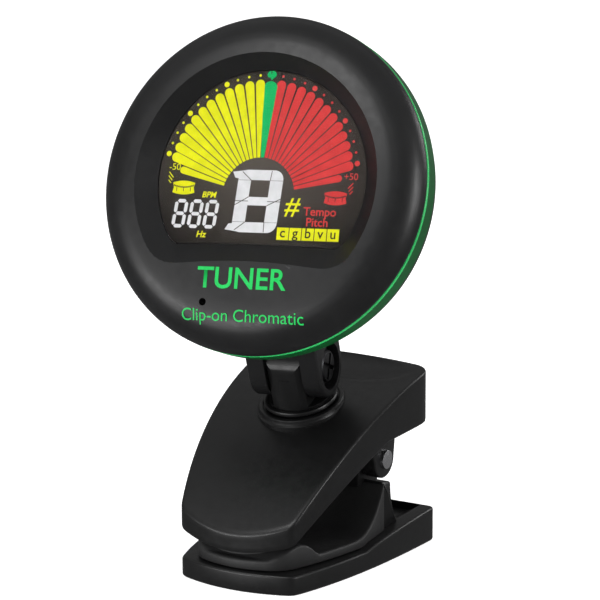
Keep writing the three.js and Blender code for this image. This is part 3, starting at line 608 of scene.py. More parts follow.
def arch(x, y, depth=0.0):
    return ARCH_Z + math.sqrt((ARCH_R - depth) ** 2 - (y - ARCH_Y) ** 2)


def plate_top(x, y):
    """The arched plate's upper face, with the thumb scoop pressed into it."""
    u = x / SCOOP_HALF_X
    v = (y - SCOOP_Y) / SCOOP_HALF_Y
    inside = 1 - u * u - v * v
    return arch(x, y) - (SCOOP_DEPTH * inside ** 0.75 if inside > 0 else 0.0)


def flange(x, y):
    """Height of the side walls' lower edge."""
    if y <= NOSE[0]:
        slope = (FLANGE_BEND[1] - NOSE[1]) / (FLANGE_BEND[0] - NOSE[0])
        return NOSE[1] + slope * (y - NOSE[0])
    if y < FLANGE_MID[0]:
        a = NOSE[0] - 2 * FLANGE_BEND[0] + FLANGE_MID[0]
        b = 2 * (FLANGE_BEND[0] - NOSE[0])
        c = NOSE[0] - y
        t = (-b + math.sqrt(b * b - 4 * a * c)) / (2 * a)
        return quad(NOSE[1], FLANGE_BEND[1], FLANGE_MID[1], t)
    level = FLANGE_MID[1] + 0.5 * (y - FLANGE_MID[0]) / 10.5
    rise = max(0.0, y - (UPPER_LENGTH - 3.0))
    return level + 2.4 * (rise / 3.65) ** 2


def upper_outline(inset):
    return clip_outline(inset, length=UPPER_LENGTH, corner=0.9, rear_corner=3.0, rear_bow=1.3)


def ceiling(x, y):
    """The plate's lower face, which comes down to the flange behind the nose."""
    low, high = flange(x, y), arch(x, y, PLATE)
    return low + (high - low) * blend01((y - 6.4) / 1.2)


def flange_step(x, y):
    return flange(x, y) + 0.2


def clear_ceiling(x, y):
    return max(ceiling(x, y), flange_step(x, y))


def upper_jaw():
    def wall(t):
        return lambda x, y: (flange(x, y) + LOWER_EDGE) * (1 - t) + (arch(x, y) - EDGE) * t

    def inner(t):
        return lambda x, y: flange_step(x, y) * (1 - t) + clear_ceiling(x, y) * t

    rings = rim(upper_outline, arch, EDGE, 5)[::-1]
    rings[0] = (rings[0][0], plate_top)
    rings += [(upper_outline(0.0), wall(t)) for t in (0.75, 0.5, 0.25)]
    rings += rim_below(upper_outline, flange, LOWER_EDGE)[::-1]
    rings += [(upper_outline(FLANGE - 0.2), flange), (upper_outline(FLANGE), flange_step)]
    rings += [(upper_outline(FLANGE), inner(0.5)), (upper_outline(FLANGE), inner(1.0))]
    fills = ((30, plate_top), (16, clear_ceiling))
    parts = [ring_cap("upper_shell", rings, fills, CLIP, CLIP_PLASTIC, spine=(5.0, 29.0))]
    boss = [(0, -2.6), (6.9, -2.6), (6.9, 0.1), (6.62, 0.3), (6.5, 0.6), (6.47, 0.82), (6.36, 0.95),
            (6.2, 1.0), (5.9, 1.0), (5.78, 0.95), (5.75, 0.85), (5.75, 0.7), (0, 0.7)]
    inner_boss = [(1.6, 0.3), (1.6, -3.3), (4.3, -3.3), (4.4, -3.2), (4.4, 0.3)]
    parts.append(finish_mesh("boss", lathe(boss, 128, "Z"), POST, CLIP_PLASTIC))
    parts.append(finish_mesh("inner_boss", lathe(inner_boss, 64, "Z"), POST, CLIP_PLASTIC))
    y0, z0 = HINGE_Y, HINGE_Z
    lug = [(y0 - 5.6, z0 + 8.0), (y0 - 5.0, z0 + 2.9), (y0 - 3.6, z0 + 1.2)]
    lug += arc(-LUG_R, 0, 20, 20, y0, z0) + [(y0 + 3.2, z0 + 2.0), (y0 + 3.6, z0 + 8.0)]
    for side in (-1, 1):
        bm = prism(lug, 8.75, 11.3, 0.25, along_x)
        for v in bm.verts:
            v.co.x *= side
        parts.append(finish_mesh("lug", bm, CLIP, CLIP_PLASTIC))
    piece(merge("upper_lever", parts), "clip_jaw", "clip", "upper_jaw")


# ------------------------------------------------------------------ lower jaw
RAIL_FLAT = 0.465 * REAR
SUPPORT_Z = HINGE_Z - 3.2
SUPPORT_FRONT, SUPPORT_REAR = HINGE_Y - 1.4, HINGE_Y + 1.0
SUPPORT_IN = 5.7  # inner face of the supports and ears
BASE_FLOOR = 4.2  # height of the base's hollow between its rails


def rail(x, y):
    if y < RAIL_FLAT:
        return 3.1
    t = (y - RAIL_FLAT) / (REAR + 1 - RAIL_FLAT)
    return quad(3.1, 5.0, 5.4, math.sqrt(t) * 0.25 + t * 0.75)


def base_top(x, y):
    z = rail(x, y)
    if y > SUPPORT_REAR + 0.8:
        edge = half_width(y, 2.2)
        z = BASE_FLOOR + (z - BASE_FLOOR) * min(max((abs(x) - edge + 1.9) / 1.9, 0.0), 1.0)
    return z


def lower_jaw():
    def line(inset):
        return clip_outline(inset, corner=1.0, rear_corner=0.9)

    rings = rim_below(line, lambda x, y: 0.0, 0.45) + [(line(0.0), lambda x, y: rail(x, y) * 0.5)]
    rings += rim(line, rail, 0.4, 4)
    fills = ((8, lambda x, y: 0.0), (48, base_top))
    parts = [ring_cap("base", rings, fills, CLIP, CLIP_PLASTIC, spine=(5.0, 31.0))]
    foot = 3.0
    profile = [(SUPPORT_FRONT, 2.0), (SUPPORT_FRONT, SUPPORT_Z, 0.2), (SUPPORT_REAR, SUPPORT_Z - 0.4, 0.4)]
    for k in range(1, 13):
        t = k / 12
        profile.append((quad(SUPPORT_REAR, SUPPORT_REAR, SUPPORT_REAR + foot, t),
                        quad(SUPPORT_Z - 0.4, 6.2, 3.7, t), 0.0))
    profile.append((SUPPORT_REAR + foot, 2.0, 0.0))
    outline = rounded(profile, 0.0)
    for side in (-1, 1):
        bm = bmesh.new()
        rings = []
        for inset, u in ((0.3, 0.0), (0.09, 0.02), (0.0, 0.06), (0.0, 0.94), (0.09, 0.98), (0.3, 1.0)):
            row = []
            for p in offset(outline, inset):
                outer = half_width(p.x, 2.05)
                row.append(bm.verts.new((side * (SUPPORT_IN + (outer - SUPPORT_IN) * u), p.x, p.y)))
            rings.append(row)
        skin(bm, rings, True)
        parts.append(finish_mesh("support", bm, CLIP, CLIP_PLASTIC))
        y0, y1, neck, front_y = HINGE_Y - LUG_R, HINGE_Y + LUG_R, 10.9, SUPPORT_FRONT + 0.05
        ear = [(y1, neck), (y1, HINGE_Z)] + arc(LUG_R, 1, 19, 20, HINGE_Y, HINGE_Z)
        ear += [(y0, HINGE_Z), (y0, neck), (front_y, neck), (front_y, 3.0), (y1, 3.0)]
        bm = prism(ear, SUPPORT_IN, 8.45, 0.2, along_x)
        for v in bm.verts:
            v.co.x *= side
        parts.append(finish_mesh("ear", bm, CLIP, CLIP_PLASTIC))
    piece(merge("lower_lever", parts), "clip_base", "clip", "lower_jaw")


PAD_LIP, PAD_HUMP, PAD_DIP = 4.8, 6.7, 4.55  # heights along the pad
PAD_REAR, PAD_CLIMB = SUPPORT_FRONT - 0.15, 7.85


def pad_top(x, y):
    """The pad's upper face: a low lip, a hump, the throat and the climb to the hinge."""
    if y < 0.2:
        return PAD_LIP - 0.3 + 0.3 * max(0.0, (y + 1.95) / 2.15)
    if y < 4.1:
        return quad(PAD_LIP, 6.8, PAD_HUMP, (y - 0.2) / 3.9)
    if y < 7.2:
        return quad(PAD_HUMP, 6.45, PAD_DIP, (y - 4.1) / 3.1)
    start = PAD_REAR - PAD_CLIMB
    if y < start:
        return PAD_DIP
    t = (y - start) / PAD_CLIMB
    return PAD_DIP + 7.25 * (0.18 * t * t + 0.82 * t ** 2.6)


def pad_bottom(x, y):
    return max(3.25, rail(x, y) + 0.02) if y > RAIL_FLAT + 1 else 3.22


def pad_outline(inset):
    return clip_outline(2.05 + inset, front_inset=0.9 + inset, length=SUPPORT_FRONT + 1.9, corner=3.4,
                        rear_corner=1.6)


def lower_pad():
    rings = rim_below(pad_outline, pad_bottom, 0.15, 2) + rim(pad_outline, pad_top, 0.4, 4)
    fills = ((8, pad_bottom), (60, pad_top))
    obj = ring_cap("grip_pad", rings, fills, CLIP, RUBBER, spine=(5.0, 16.0), sharp=50.0)
    piece(obj, "clip_base", "pad", "lower_pad")


# ------------------------------------------------------------------ pin and spring
PIN_R = 1.45


def pin():
    end = [(0, 11.2), (PIN_R, 11.2), (PIN_R, 11.7), (PIN_R - 0.05, 11.82), (PIN_R - 0.15, 11.86), (0, 11.87)]
    shaft = [(0, -11.3), (PIN_R, -11.3), (PIN_R, 11.3), (0, 11.3)]
    parts = []
    turned = (("pin_end", end, 64, -1), ("pin_end", end, 64, 1), ("pin_shaft", shaft, 48, 1))
    for name, profile, count, side in turned:
        bm = lathe(profile, count, "Z")
        turn = Matrix.Rotation(math.pi / 2 * side, 4, "Y")
        bmesh.ops.transform(bm, matrix=Matrix.Translation((0, HINGE_Y, HINGE_Z)) @ turn, verts=bm.verts)
        parts.append(finish_mesh(name, bm, CLIP, STEEL))
    piece(merge("hinge_pin", parts), "clip_base", "steel", "pivot_pin")


# ------------------------------------------------------------------ post, collar and yoke
TONGUE, TONGUE_R, POST_R = 2.75, 4.7, 4.8
PIVOT = (tilt_pos - post_pos).dot(post_axis) / MM
EAR_R, EAR_IN, EAR_OUT = 4.65, 2.9, 5.75
SLOT_R, POCKET_R = 5.7, 3.5
ARM_LEAN = math.acos(min(1.0, post_axis.dot(head_up))) - math.radians(2.8)
BACK_Y = COVER + (head_pos - tilt_pos).dot(-front) / MM
POCKET = 1.7  # depth of the screw's pocket in each ear


def post():
    round_post = [(0, 1.12), (POST_R - 0.1, 1.12), (POST_R, 1.2), (POST_R, 11.6), (0, 11.6)]
    body = finish_mesh("post_round", lathe(round_post, 96, "Z"), SWIVEL, CLIP_PLASTIC)
    shape = [(-7, 0.9), (7, 0.9), (7, PIVOT), (TONGUE_R, PIVOT + 0.01)]
    shape += arc(TONGUE_R, 1, 23, 24, y=PIVOT) + [(-TONGUE_R, PIVOT + 0.01), (-7, PIVOT)]
    cut(body, shape, -8, 8, SWIVEL, operation="INTERSECT")
    for side in (-1, 1):
        low, high = sorted((side * TONGUE, side * 9))
        cut(body, rect(-8, 1.95, 8, 20), low, high, SWIVEL)
    crisp(body, 28.0, 0.22, 3)
    piece(merge("stem", [body]), "swivel_foot", "clip", "swivel_post")
    collar = [(4.9, 1.12), (5.5, 1.12), (5.6, 1.2), (5.6, 1.52), (5.5, 1.68), (5.3, 1.72), (5.05, 1.72),
              (4.92, 1.66), (4.9, 1.5), (4.9, 1.12)]
    ring = finish_mesh("collar", lathe(collar, 96, "Z"), SWIVEL, CLIP_PLASTIC)
    piece(ring, "swivel_foot", "clip", "collar_ring")


def tilt_lathe(name, profile, count):
    """A turned piece about the tilt axis."""
    bm = lathe(profile, count, "Z")
    bmesh.ops.transform(bm, matrix=Matrix.Rotation(math.pi / 2, 4, "Y"), verts=bm.verts)
    return finish_mesh(name, bm, TILT, BLACK_STEEL)


def yoke():
    up, fwd = math.cos(ARM_LEAN), math.sin(ARM_LEAN)
    foot = BACK_Y + 0.2
    along = -foot / fwd
    near, far = along - EAR_R / math.tan(ARM_LEAN), along + EAR_R / math.tan(ARM_LEAN)
    line = [(-EAR_R * up - near * fwd, -EAR_R * fwd + near * up),
            (EAR_R * up - far * fwd, EAR_R * fwd + far * up)]
    for k in range(41):
        a = ARM_LEAN - math.pi * k / 40
        line.append((EAR_R * math.cos(a), EAR_R * math.sin(a)))
    body = finish_mesh("arm", prism(line, -EAR_OUT, EAR_OUT, 0.45, along_x, 5), TILT, SHELL)
    cut(body, arc(SLOT_R, 0, 30, 30) + [(-SLOT_R, -6), (SLOT_R, -6)], -EAR_IN, EAR_IN, TILT)
    for side in (-1, 1):
        low, high = sorted((side * (EAR_OUT - POCKET), side * (EAR_OUT + 1)))
        cut(body, arc(POCKET_R, 0, 63, 32), low, high, TILT)
    crisp(body, 35.0, 0.16, 2)
    piece(merge("bracket", [body]), "head", "shell", "yoke_bracket")
    seat = EAR_OUT - POCKET + 0.15
    profile = [(0, seat), (2.3, seat), (2.4, seat + 0.1), (2.4, seat + 1.0), (2.2, seat + 1.22),
               (1.6, seat + 1.3), (0, seat + 1.3)]
    screw = tilt_lathe("screw", profile, 64)
    for a, b in ((0.32, 2.0), (2.0, 0.32)):
        cut(screw, rect(-a, -b, a, b), seat + 0.7, seat + 3, TILT)
    crisp(screw, 30.0, 0.05, 1)
    shank = tilt_lathe("shank", [(0, -seat - 1.3), (1.3, -seat - 1.3), (1.3, seat + 0.2), (0, seat + 0.2)], 48)
    piece(merge("pivot_screw", [screw, shank]), "head", "black_steel", "tilt_screw")


# ------------------------------------------------------------------ head
R = 25.0
WINDOW_R, WINDOW_Z = 16.25, -9.75
DISH_R, DISH_Z = 19.0, -12.9
LIFT = 1.87  # depth of the lit segments, just behind the window


def d_shape(radius, chord, corner, arch_up, count=96, chord_steps=24):
    """A circle cut off along a chord that is gently arched, with rounded corners."""
    a0 = math.asin(chord / radius)
    span = math.pi - 2 * a0
    pts = [Vector((radius * math.cos(a0 + span * k / count), radius * math.sin(a0 + span * k / count)))
           for k in range(count + 1)]
    half = radius * math.cos(a0)
    for k in range(1, chord_steps):
        x = -half + 2 * half * k / chord_steps
        pts.append(Vector((x, chord + arch_up * (1 - (x / half) ** 2))))
    skip = max(1, int(corner / (radius * span / count)))
    low = max(1, int(corner / (2 * half / chord_steps)))
    body = pts[skip:count + 1 - skip]
    chord_line = pts[count + low:len(pts) - low + 1]
    left = [quad(body[-1], pts[count], chord_line[0], k / 6) for k in range(1, 6)]
    right_corner = [quad(chord_line[-1], pts[0], body[0], k / 6) for k in range(1, 6)]
    return body + left + chord_line + right_corner


def loft(sections, matrix, material, name):
    """A closed solid through outlines of equal point count, each at its depth on the head's face."""
    bm = bmesh.new()
    rows = [[bm.verts.new((p.x, -depth, p.y)) for p in line] for line, depth in sections]
    skin(bm, rows, True)
    return finish_mesh(name, bm, matrix, material)


DOME = smooth_path([(0, 4.6), (9, 4.57), (16, 4.42), (19.8, 4.12), (21.6, 3.72), (22.9, 3.12), (23.9, 2.35),
                    (24.55, 1.5), (24.9, 0.75), (24.98, 0.25), (24.9, 0.03, 1)], 8)


SILL = 2.05  # depth of the window's ledge
DISH_RISE, PAST_FACE = 2.3, 2.0  # the dish's slope, and how far its cutter goes on


def shift(bm, x, z):
    for v in bm.verts:
        v.co.x += x
        v.co.z += z


def drill(obj, x, z, radius, start, stop, count=64):
    """Cuts a round hole along the face axis, between two depths."""
    bm = lathe([(0, start), (radius, start), (radius, stop), (0, stop)], count)
    shift(bm, x, z)
    boolean(obj, finish_mesh("cutter", bm, HEAD, SHELL))


def front_shell():
    inner = [Vector(p) for p in ((23.4, 0.0), (23.4, 0.7), (22.5, 1.8), (20.2, 2.5), (18.6, 1.0), (0, 1.0))]
    shell = finish_mesh("shell", lathe(DOME + inner, 256), HEAD, SHELL)
    window = shifted(d_shape(WINDOW_R, WINDOW_Z, 1.6, 0.35))
    dish = d_shape(DISH_R, DISH_Z, 3.6, 1.3)
    if len(window) != len(dish):
        dish = resample(dish, len(window))
    grow = [p + (q - p) * (1 + PAST_FACE / DISH_RISE) for p, q in zip(window, dish)]
    top = SILL + DISH_RISE + PAST_FACE
    boolean(shell, loft([(window, 0.0), (window, SILL), (grow, top)], HEAD, SHELL, "cutter"))
    drill(shell, -6.2, 7.1 - R, 0.55, 0.5, 6, 32)
    crisp(shell, 16.0, 0.28, 3)
    piece(merge("face_shell", [shell]), "head", "shell", "front_shell")
    lens_line = shifted(d_shape(WINDOW_R - 0.1, WINDOW_Z + 0.1, 1.6, 0.35))
    inset = offset(lens_line, 0.08)
    lens = loft([(lens_line, 1.93), (lens_line, 2.02), (inset, 2.1)], HEAD, LENS, "window")
    piece(lens, "head", "lens", "display_lens")
    piece(loft([(lens_line, 1.15), (lens_line, LIFT - 0.03)], HEAD, PANEL, "display_face"), "head", "panel")


def shifted(line):
    """The window's outline, which sits a little above and beside the head's centre."""
    return [p + Vector((0.2, 0.4)) for p in line]


def resample(line, count):
    """The closed outline as evenly spaced points."""
    loop = line + [line[0]]
    lengths = lengths_along(loop)
    return [point_at(loop, lengths, lengths[-1] * k / count) for k in range(count)]


def accent_ring():
    lip = smooth_path([(23.7, -0.15, 1), (24.6, -0.15, 1), (24.9, -0.2), (25.0, -0.35), (25.0, -0.65, 1),
                       (24.9, -0.75, 1), (23.7, -0.75, 1), (23.7, -0.15)], 5)
    side = smooth_path([(23.7, -0.78, 1), (24.93, -0.78, 1), (24.95, -0.9), (24.95, -3.1), (24.9, -3.4),
                        (24.7, -3.6), (23.7, -3.6, 1), (23.7, -0.78)], 5)
    # The lip takes the green with a painted highlight and the side band the green with painted shade; both stand
    # for the same green plastic.
    piece(finish_mesh("green_lip_painted_highlight", lathe(lip, 256), HEAD, GREEN_LIP_PAINTED_HIGHLIGHT), "head", "ring", "accent_ring")
    piece(finish_mesh("green_band_painted_shade", lathe(side, 256), HEAD, GREEN_SIDE_PAINTED_SHADE), "head", "ring", "accent_ring")


BEHIND = -12  # a depth behind the whole head, where the rear cutters start
BUTTONS = ("mode", "up", "down")


def button_centre(name):
    """A button's place across the head, from its CAD box."""
    low, high = (Vector(c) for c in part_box(name + "_button"))
    middle = HEAD.inverted() @ ((low + high) / 2)
    return middle.x / MM, middle.z / MM


def rear_cover():
    outer = smooth_path([(23.4, -3.9, 1), (24.2, -3.9, 1), (24.42, -4.02), (24.45, -4.5), (24.3, -5.4),
                         (23.75, -6.75), (22.7, -7.85), (20.9, -8.65), (18.6, -9.12), (16, -9.2),
                         (0, -9.2, 1)], 6)
    inner = [(0, -7.7), (17.2, -7.7), (19.8, -7.4), (22.1, -6.4), (23.4, -4.9), (23.4, -3.9)]
    cover = finish_mesh("cover", lathe(outer + [Vector(p) for p in inner], 192), HEAD, SHELL)
    drill(cover, 0, CELL_Z, 11.15, BEHIND, -7.0)
    for name in BUTTONS:
        drill(cover, *button_centre(name), 2.5, BEHIND, -7.0)
    for angle in (10, 170, 270):
        a = math.radians(angle)
        drill(cover, (R - 4.4) * math.cos(a), (R - 4.4) * math.sin(a), 1.75, BEHIND, -6.7)
    for side in (-1, 1):
        low, high = sorted((0.0, side * 12.5))
        cut(cover, rect(low, CELL_Z - 2.5, high, CELL_Z + 2.5), BEHIND, -6.6, HEAD, forward)
    crisp(cover, 30.0, 0.15, 2)
    piece(merge("back_shell", [cover]), "head", "shell", "rear_cover")


def door():
    rims = [(0, -7.7), (10.8, -7.7), (10.9, -7.8), (10.9, -9.0), (10.75, -9.15), (0, -9.15)]
    body = finish_mesh("lid", lathe(rims, 128), HEAD, SHELL)
    for v in body.data.vertices:
        v.co.z += CELL_Z * MM
    slot = rounded(rect(-5, CELL_Z - 0.8, 5, CELL_Z + 0.8), 0.75)
    cut(body, slot, BEHIND, -8.45, HEAD, forward)
    crisp(body, 30.0, 0.12, 2)
    piece(merge("coin_door", [body]), "battery_door", "shell", "battery_door")


def button(name):
    profile = smooth_path([(0, -7.3, 1), (3.0, -7.3, 1), (3.0, -7.55, 1), (2.3, -7.55, 1), (2.3, -9.35),
                           (2.22, -9.6), (2.0, -9.76), (1.5, -9.8), (0, -9.72)], 4)
    bm = lathe(profile, 64)
    shift(bm, *button_centre(name))
    piece(finish_mesh(name + "_cap", bm, HEAD, CAP), name + "_button", "cap", name + "_button")


# ------------------------------------------------------------------ display graphics
FAN = (-0.14, -1.85)
FAN_TURN = math.radians(1.4)


def flat(bm, points):
    """One face in the plane of the lit segments."""
    verts = [bm.verts.new((x, -LIFT, z)) for x, z in points]
    bm.faces.new(verts)


def bar(bm, x0, z0, x1, z1, half, ends=0.0):
    """A straight stroke of a half width, with pointed ends if 'ends' is more than zero."""
    d = Vector((x1 - x0, z1 - z0))
    n = Vector((-d.y, d.x)).normalized()
    d.normalize()
    pts = [(x0 + n.x * half, z0 + n.y * half), (x1 + n.x * half, z1 + n.y * half)]
    if ends:
        pts.append((x1 + d.x * ends, z1 + d.y * ends))
    pts += [(x1 - n.x * half, z1 - n.y * half), (x0 - n.x * half, z0 - n.y * half)]
    if ends:
        pts.append((x0 - d.x * ends, z0 - d.y * ends))
    flat(bm, pts)


def dot(bm, x, z, r, count=20):
    flat(bm, arc(r, 0, count - 1, count / 2, x, z))


def polar(angle, radius):
    """A point of the fan, by its angle from the fan's middle and its radius."""
    angle += FAN_TURN
    return FAN[0] + radius * math.sin(angle), FAN[1] + radius * math.cos(angle)


def needle(bm, angle, r0, r1, w0, w1):
    """A tapered segment of the fan with a rounded outer end."""
    x0, z0 = polar(angle, r0)
    x1, z1 = polar(angle, r1 - w1)
    d = Vector((x1 - x0, z1 - z0)).normalized()
    n = Vector((-d.y, d.x))
    pts = [(x0 - n.x * w0, z0 - n.y * w0), (x0 + n.x * w0, z0 + n.y * w0)]
    for k in range(13):
        a = math.pi * k / 12
        q = n * w1 * math.cos(a) + d * w1 * math.sin(a)
        pts.append((x1 + q.x, z1 + q.y))
    flat(bm, pts)


SEGMENTS = {"a": ((0, 1), (1, 1)), "g": ((0, 0.5), (1, 0.5)), "d": ((0, 0), (1, 0)), "f": ((0, 0.5), (0, 1)),
            "b": ((1, 0.5), (1, 1)), "e": ((0, 0), (0, 0.5)), "c": ((1, 0), (1, 0.5))}


def digit(bm, x, z, w, h, thick, slant):
    """A seven-segment digit with all its segments lit."""
    for (u0, v0), (u1, v1) in SEGMENTS.values():
        p = Vector((x + u0 * w + v0 * h * slant, z + v0 * h))
        q = Vector((x + u1 * w + v1 * h * slant, z + v1 * h))
        d = (q - p).normalized() * (thick * 0.62)
        bar(bm, p.x + d.x, p.y + d.y, q.x - d.x, q.y - d.y, thick / 2, ends=thick * 0.42)


def finish_flat(name, bm, material):
    for v in bm.verts:
        v.co *= MM
    mesh = bpy.data.meshes.new(name)
    bm.to_mesh(mesh)
    bm.free()
    mesh.materials.append(material)
    piece(place(name, mesh, HEAD), "head", "panel")


def curve_mesh(curve, material):
    """The curve or text as a mesh of one material."""
    temp = place(curve.name + "_curve", curve)
    dg = bpy.context.evaluated_depsgraph_get()
    mesh = bpy.data.meshes.new_from_object(temp.evaluated_get(dg))
    bpy.data.objects.remove(temp, do_unlink=True)
    mesh.materials.clear()
    mesh.materials.append(material)
    return mesh


def legend(name, text, x, z, size, material, depth=LIFT, slant=0.0, bold=0.0, slot="panel"):
    curve = bpy.data.curves.new(name, "FONT")
    curve.body = text
    curve.size = size * MM
    curve.align_x = "CENTER"
    curve.align_y = "CENTER"
    curve.shear = slant
    curve.offset = bold * MM
    mesh = curve_mesh(curve, material)
    mesh.transform(Matrix.Translation((x * MM, -depth * MM, z * MM)) @ Matrix.Rotation(math.pi / 2, 4, "X"))
    return piece(place(name, mesh, HEAD), "head", slot)


def rect(x0, z0, x1, z1):
    return [(x0, z0), (x1, z0), (x1, z1), (x0, z1)]


def drum(bm, seams, cx, cz, side):
    """A small drum: a solid barrel with dark hoops and staves, and three strokes beside it for the beat."""
    half, high, sag = 1.75, 0.72, 0.3
    n = 16
    top = [(cx + half * (2 * k / n - 1), cz + high + sag * (1 - (2 * k / n - 1) ** 2)) for k in range(n + 1)]
    low = [(cx + half * (1 - 2 * k / n), cz - high - sag * (1 - (1 - 2 * k / n) ** 2)) for k in range(n + 1)]
    flat(bm, top + [(cx + half * 0.9, cz)] + low + [(cx - half * 0.9, cz)])
    for level in (0.42, 0.3):
        for k in range(n):
            u, v = 2 * k / n - 1, 2 * (k + 1) / n - 1
            bar(seams, cx + half * 0.92 * u, cz + level - sag * (1 - u * u),
                cx + half * 0.92 * v, cz + level - sag * (1 - v * v), 0.045)
    for u in (-0.62, 0.0, 0.62):
        bar(seams, cx + half * u, cz + 0.05, cx + half * u, cz - high * 0.75, 0.05)
    for k in range(3):
        a = math.radians(35 + 20 * k)
        x0, z0 = cx + side * (half + 0.05 + 0.15 * k), cz + 1.45 - 0.42 * k
        bar(bm, x0, z0, x0 + side * 0.75 * math.cos(a - 0.35), z0 + 0.85 * math.sin(1.9 - a), 0.075)


def reach(angle):
    """Outer radius of the fan, which follows the window's edge."""
    return 14.05 + 3.1 * math.cos(angle)


def display():
    yellow, red, green, white, dark = (bmesh.new() for _ in range(5))
    step, inner_r, tip = math.radians(5.8), 5.63, 0.22
    for side, bm in ((-1, yellow), (1, red)):
        for k in range(1, 13):
            a = side * step * k
            needle(bm, a, inner_r, reach(a), tip, 0.7)
            x, z = polar(a, reach(a) + 0.62)
            dot(bm, x, z, 0.4 if k % 4 == 0 else 0.19)
        needle(bm, side * step * 13, inner_r, 13.1, tip, 0.52)
    needle(green, 0.0, inner_r, 16.9, 0.24, 1.08)
    x, z = polar(0.0, 17.85)
    flat(green, [(x + 0.72 * math.sin(t), z + 0.58 * math.cos(t)) for t in
                 [math.pi * 2 * k / 24 for k in range(24) if not 9 < k < 15]] + [(x, z - 0.85)])
    for i in range(3):
        digit(white, -13.1 + i * 2.45, -6.6, 1.55, 3.7, 0.52, slant=0.1)
    big(white, dark)
    for i, letter in enumerate("cgbvu"):
        x0 = 3.35 + i * 1.95
        legend("mode_%d" % i, letter, x0 + 0.9, -7.15, 2.0, PANEL, LIFT + 0.02, bold=0.025)
        flat(yellow, rect(x0, -8.15, x0 + 1.82, -6.35))
    drum(yellow, dark, -11.92, -0.95, -1)
    drum(red, dark, 11.9, -1.85, 1)
    for v in dark.verts:
        v.co.y -= 0.02
    finish_flat("yellow_segments", yellow, YELLOW_LIT)
    finish_flat("red_segments", red, RED_LIT)
    finish_flat("green_segments", green, GREEN_LIT)
    finish_flat("white_segments", white, WHITE_LIT)
    finish_flat("segment_seams", dark, PANEL)
    legend("low_mark", "-50", -13.6, 2.05, 1.4, YELLOW_LIT)
    legend("high_mark", "+50", 14.0, 1.29, 1.4, RED_LIT)
    legend("beat_unit", "BPM", -7.82, -1.92, 1.2, YELLOW_LIT, bold=0.03, slant=0.2)
    legend("pitch_unit", "Hz", -8.53, -7.75, 1.3, YELLOW_LIT, bold=0.03, slant=0.2)
    legend("sharp_mark", "#", 5.25, -3.25, 3.8, YELLOW_LIT, bold=0.03, slant=0.15)
    legend("function_a", "Tempo", 9.7, -3.95, 1.75, RED_LIT, bold=0.02)
    legend("function_b", "Pitch", 9.4, -5.5, 1.75, RED_LIT, bold=0.02)


def face_depth(x, z):
    """Depth of the domed face at a point of it."""
    r = math.hypot(x, z)
    for p, q in zip(DOME, DOME[1:]):
        if p.x <= r <= q.x:
            return p.y + (q.y - p.y) * (r - p.x) / max(q.x - p.x, 1e-6)
    return DOME[-1].y


def face_legends():
    """A plain word and a plain description, laid on the domed face."""
    word = legend("face_word", "TUNER", -0.4, -14.5, 4.3, PRINT, LIFT, bold=0.06, slot="shell")
    line = legend("face_legend", "Clip-on Chromatic", 0.0, -19.8, 2.5, PRINT, LIFT, slot="shell")
    for obj, proud in ((word, 0.06), (line, 0.09)):
        for v in obj.data.vertices:
            p = (HEAD.inverted() @ v.co) / MM
            v.co = HEAD @ (Vector((p.x, -face_depth(p.x, p.z) - proud, p.z)) * MM)


def big(bm, seams):
    """The large note character: rounded top and bottom bars, two stems, a middle bar and two left spurs."""
    middle, half, z0, z1, slant, stem, bar_high = -0.1, 3.5, -7.23, 1.95, 0.06, 2.0, 1.5
    mid = (z0 + z1) / 2

    def at(x, z):
        return (middle + x + (z - mid) * slant, z)

    corner, gap, seam, bar_half = 1.45, 0.05, 0.06, 0.62
    for z, d in ((z0, 1), (z1, -1)):
        line = arc(-corner, 0, 8, 16, -half + corner, corner)
        line = line + [(-x, h) for x, h in reversed(line)]
        line = [(-half, bar_high)] + line + [(half, bar_high)]
        flat(bm, [at(x, z + d * h) for x, h in line])
        flat(bm, [at(-half - 1.0, z + d * 0.35), at(-half + 0.9, z + d * 0.1), at(-half + 0.3, z + d * 1.35),
                  at(-half - 0.55, z + d * 1.2)])
        bar(seams, *at(-half + stem, z + d * bar_high), *at(-half + 0.5, z + d * 0.3), seam)
        bar(seams, *at(half - stem, z + d * bar_high), *at(half - stem + 0.1, z + d * 0.1), seam)
    for side in (-1, 1):
        a, b = sorted((side * half, side * (half - stem)))
        for lo, hi in ((z0 + bar_high, mid), (mid, z1 - bar_high)):
            flat(bm, [at(x, z) for x, z in rect(a, lo + gap, b, hi - gap)])
    inner = half - stem
    flat(bm, [at(x, z) for x, z in rect(-inner, mid - bar_half, inner, mid + bar_half)])
    bar(seams, *at(-half, mid - bar_half), *at(-inner, mid + bar_half), seam)
    bar(seams, *at(inner, mid - bar_half), *at(half, mid + 0.4), seam)


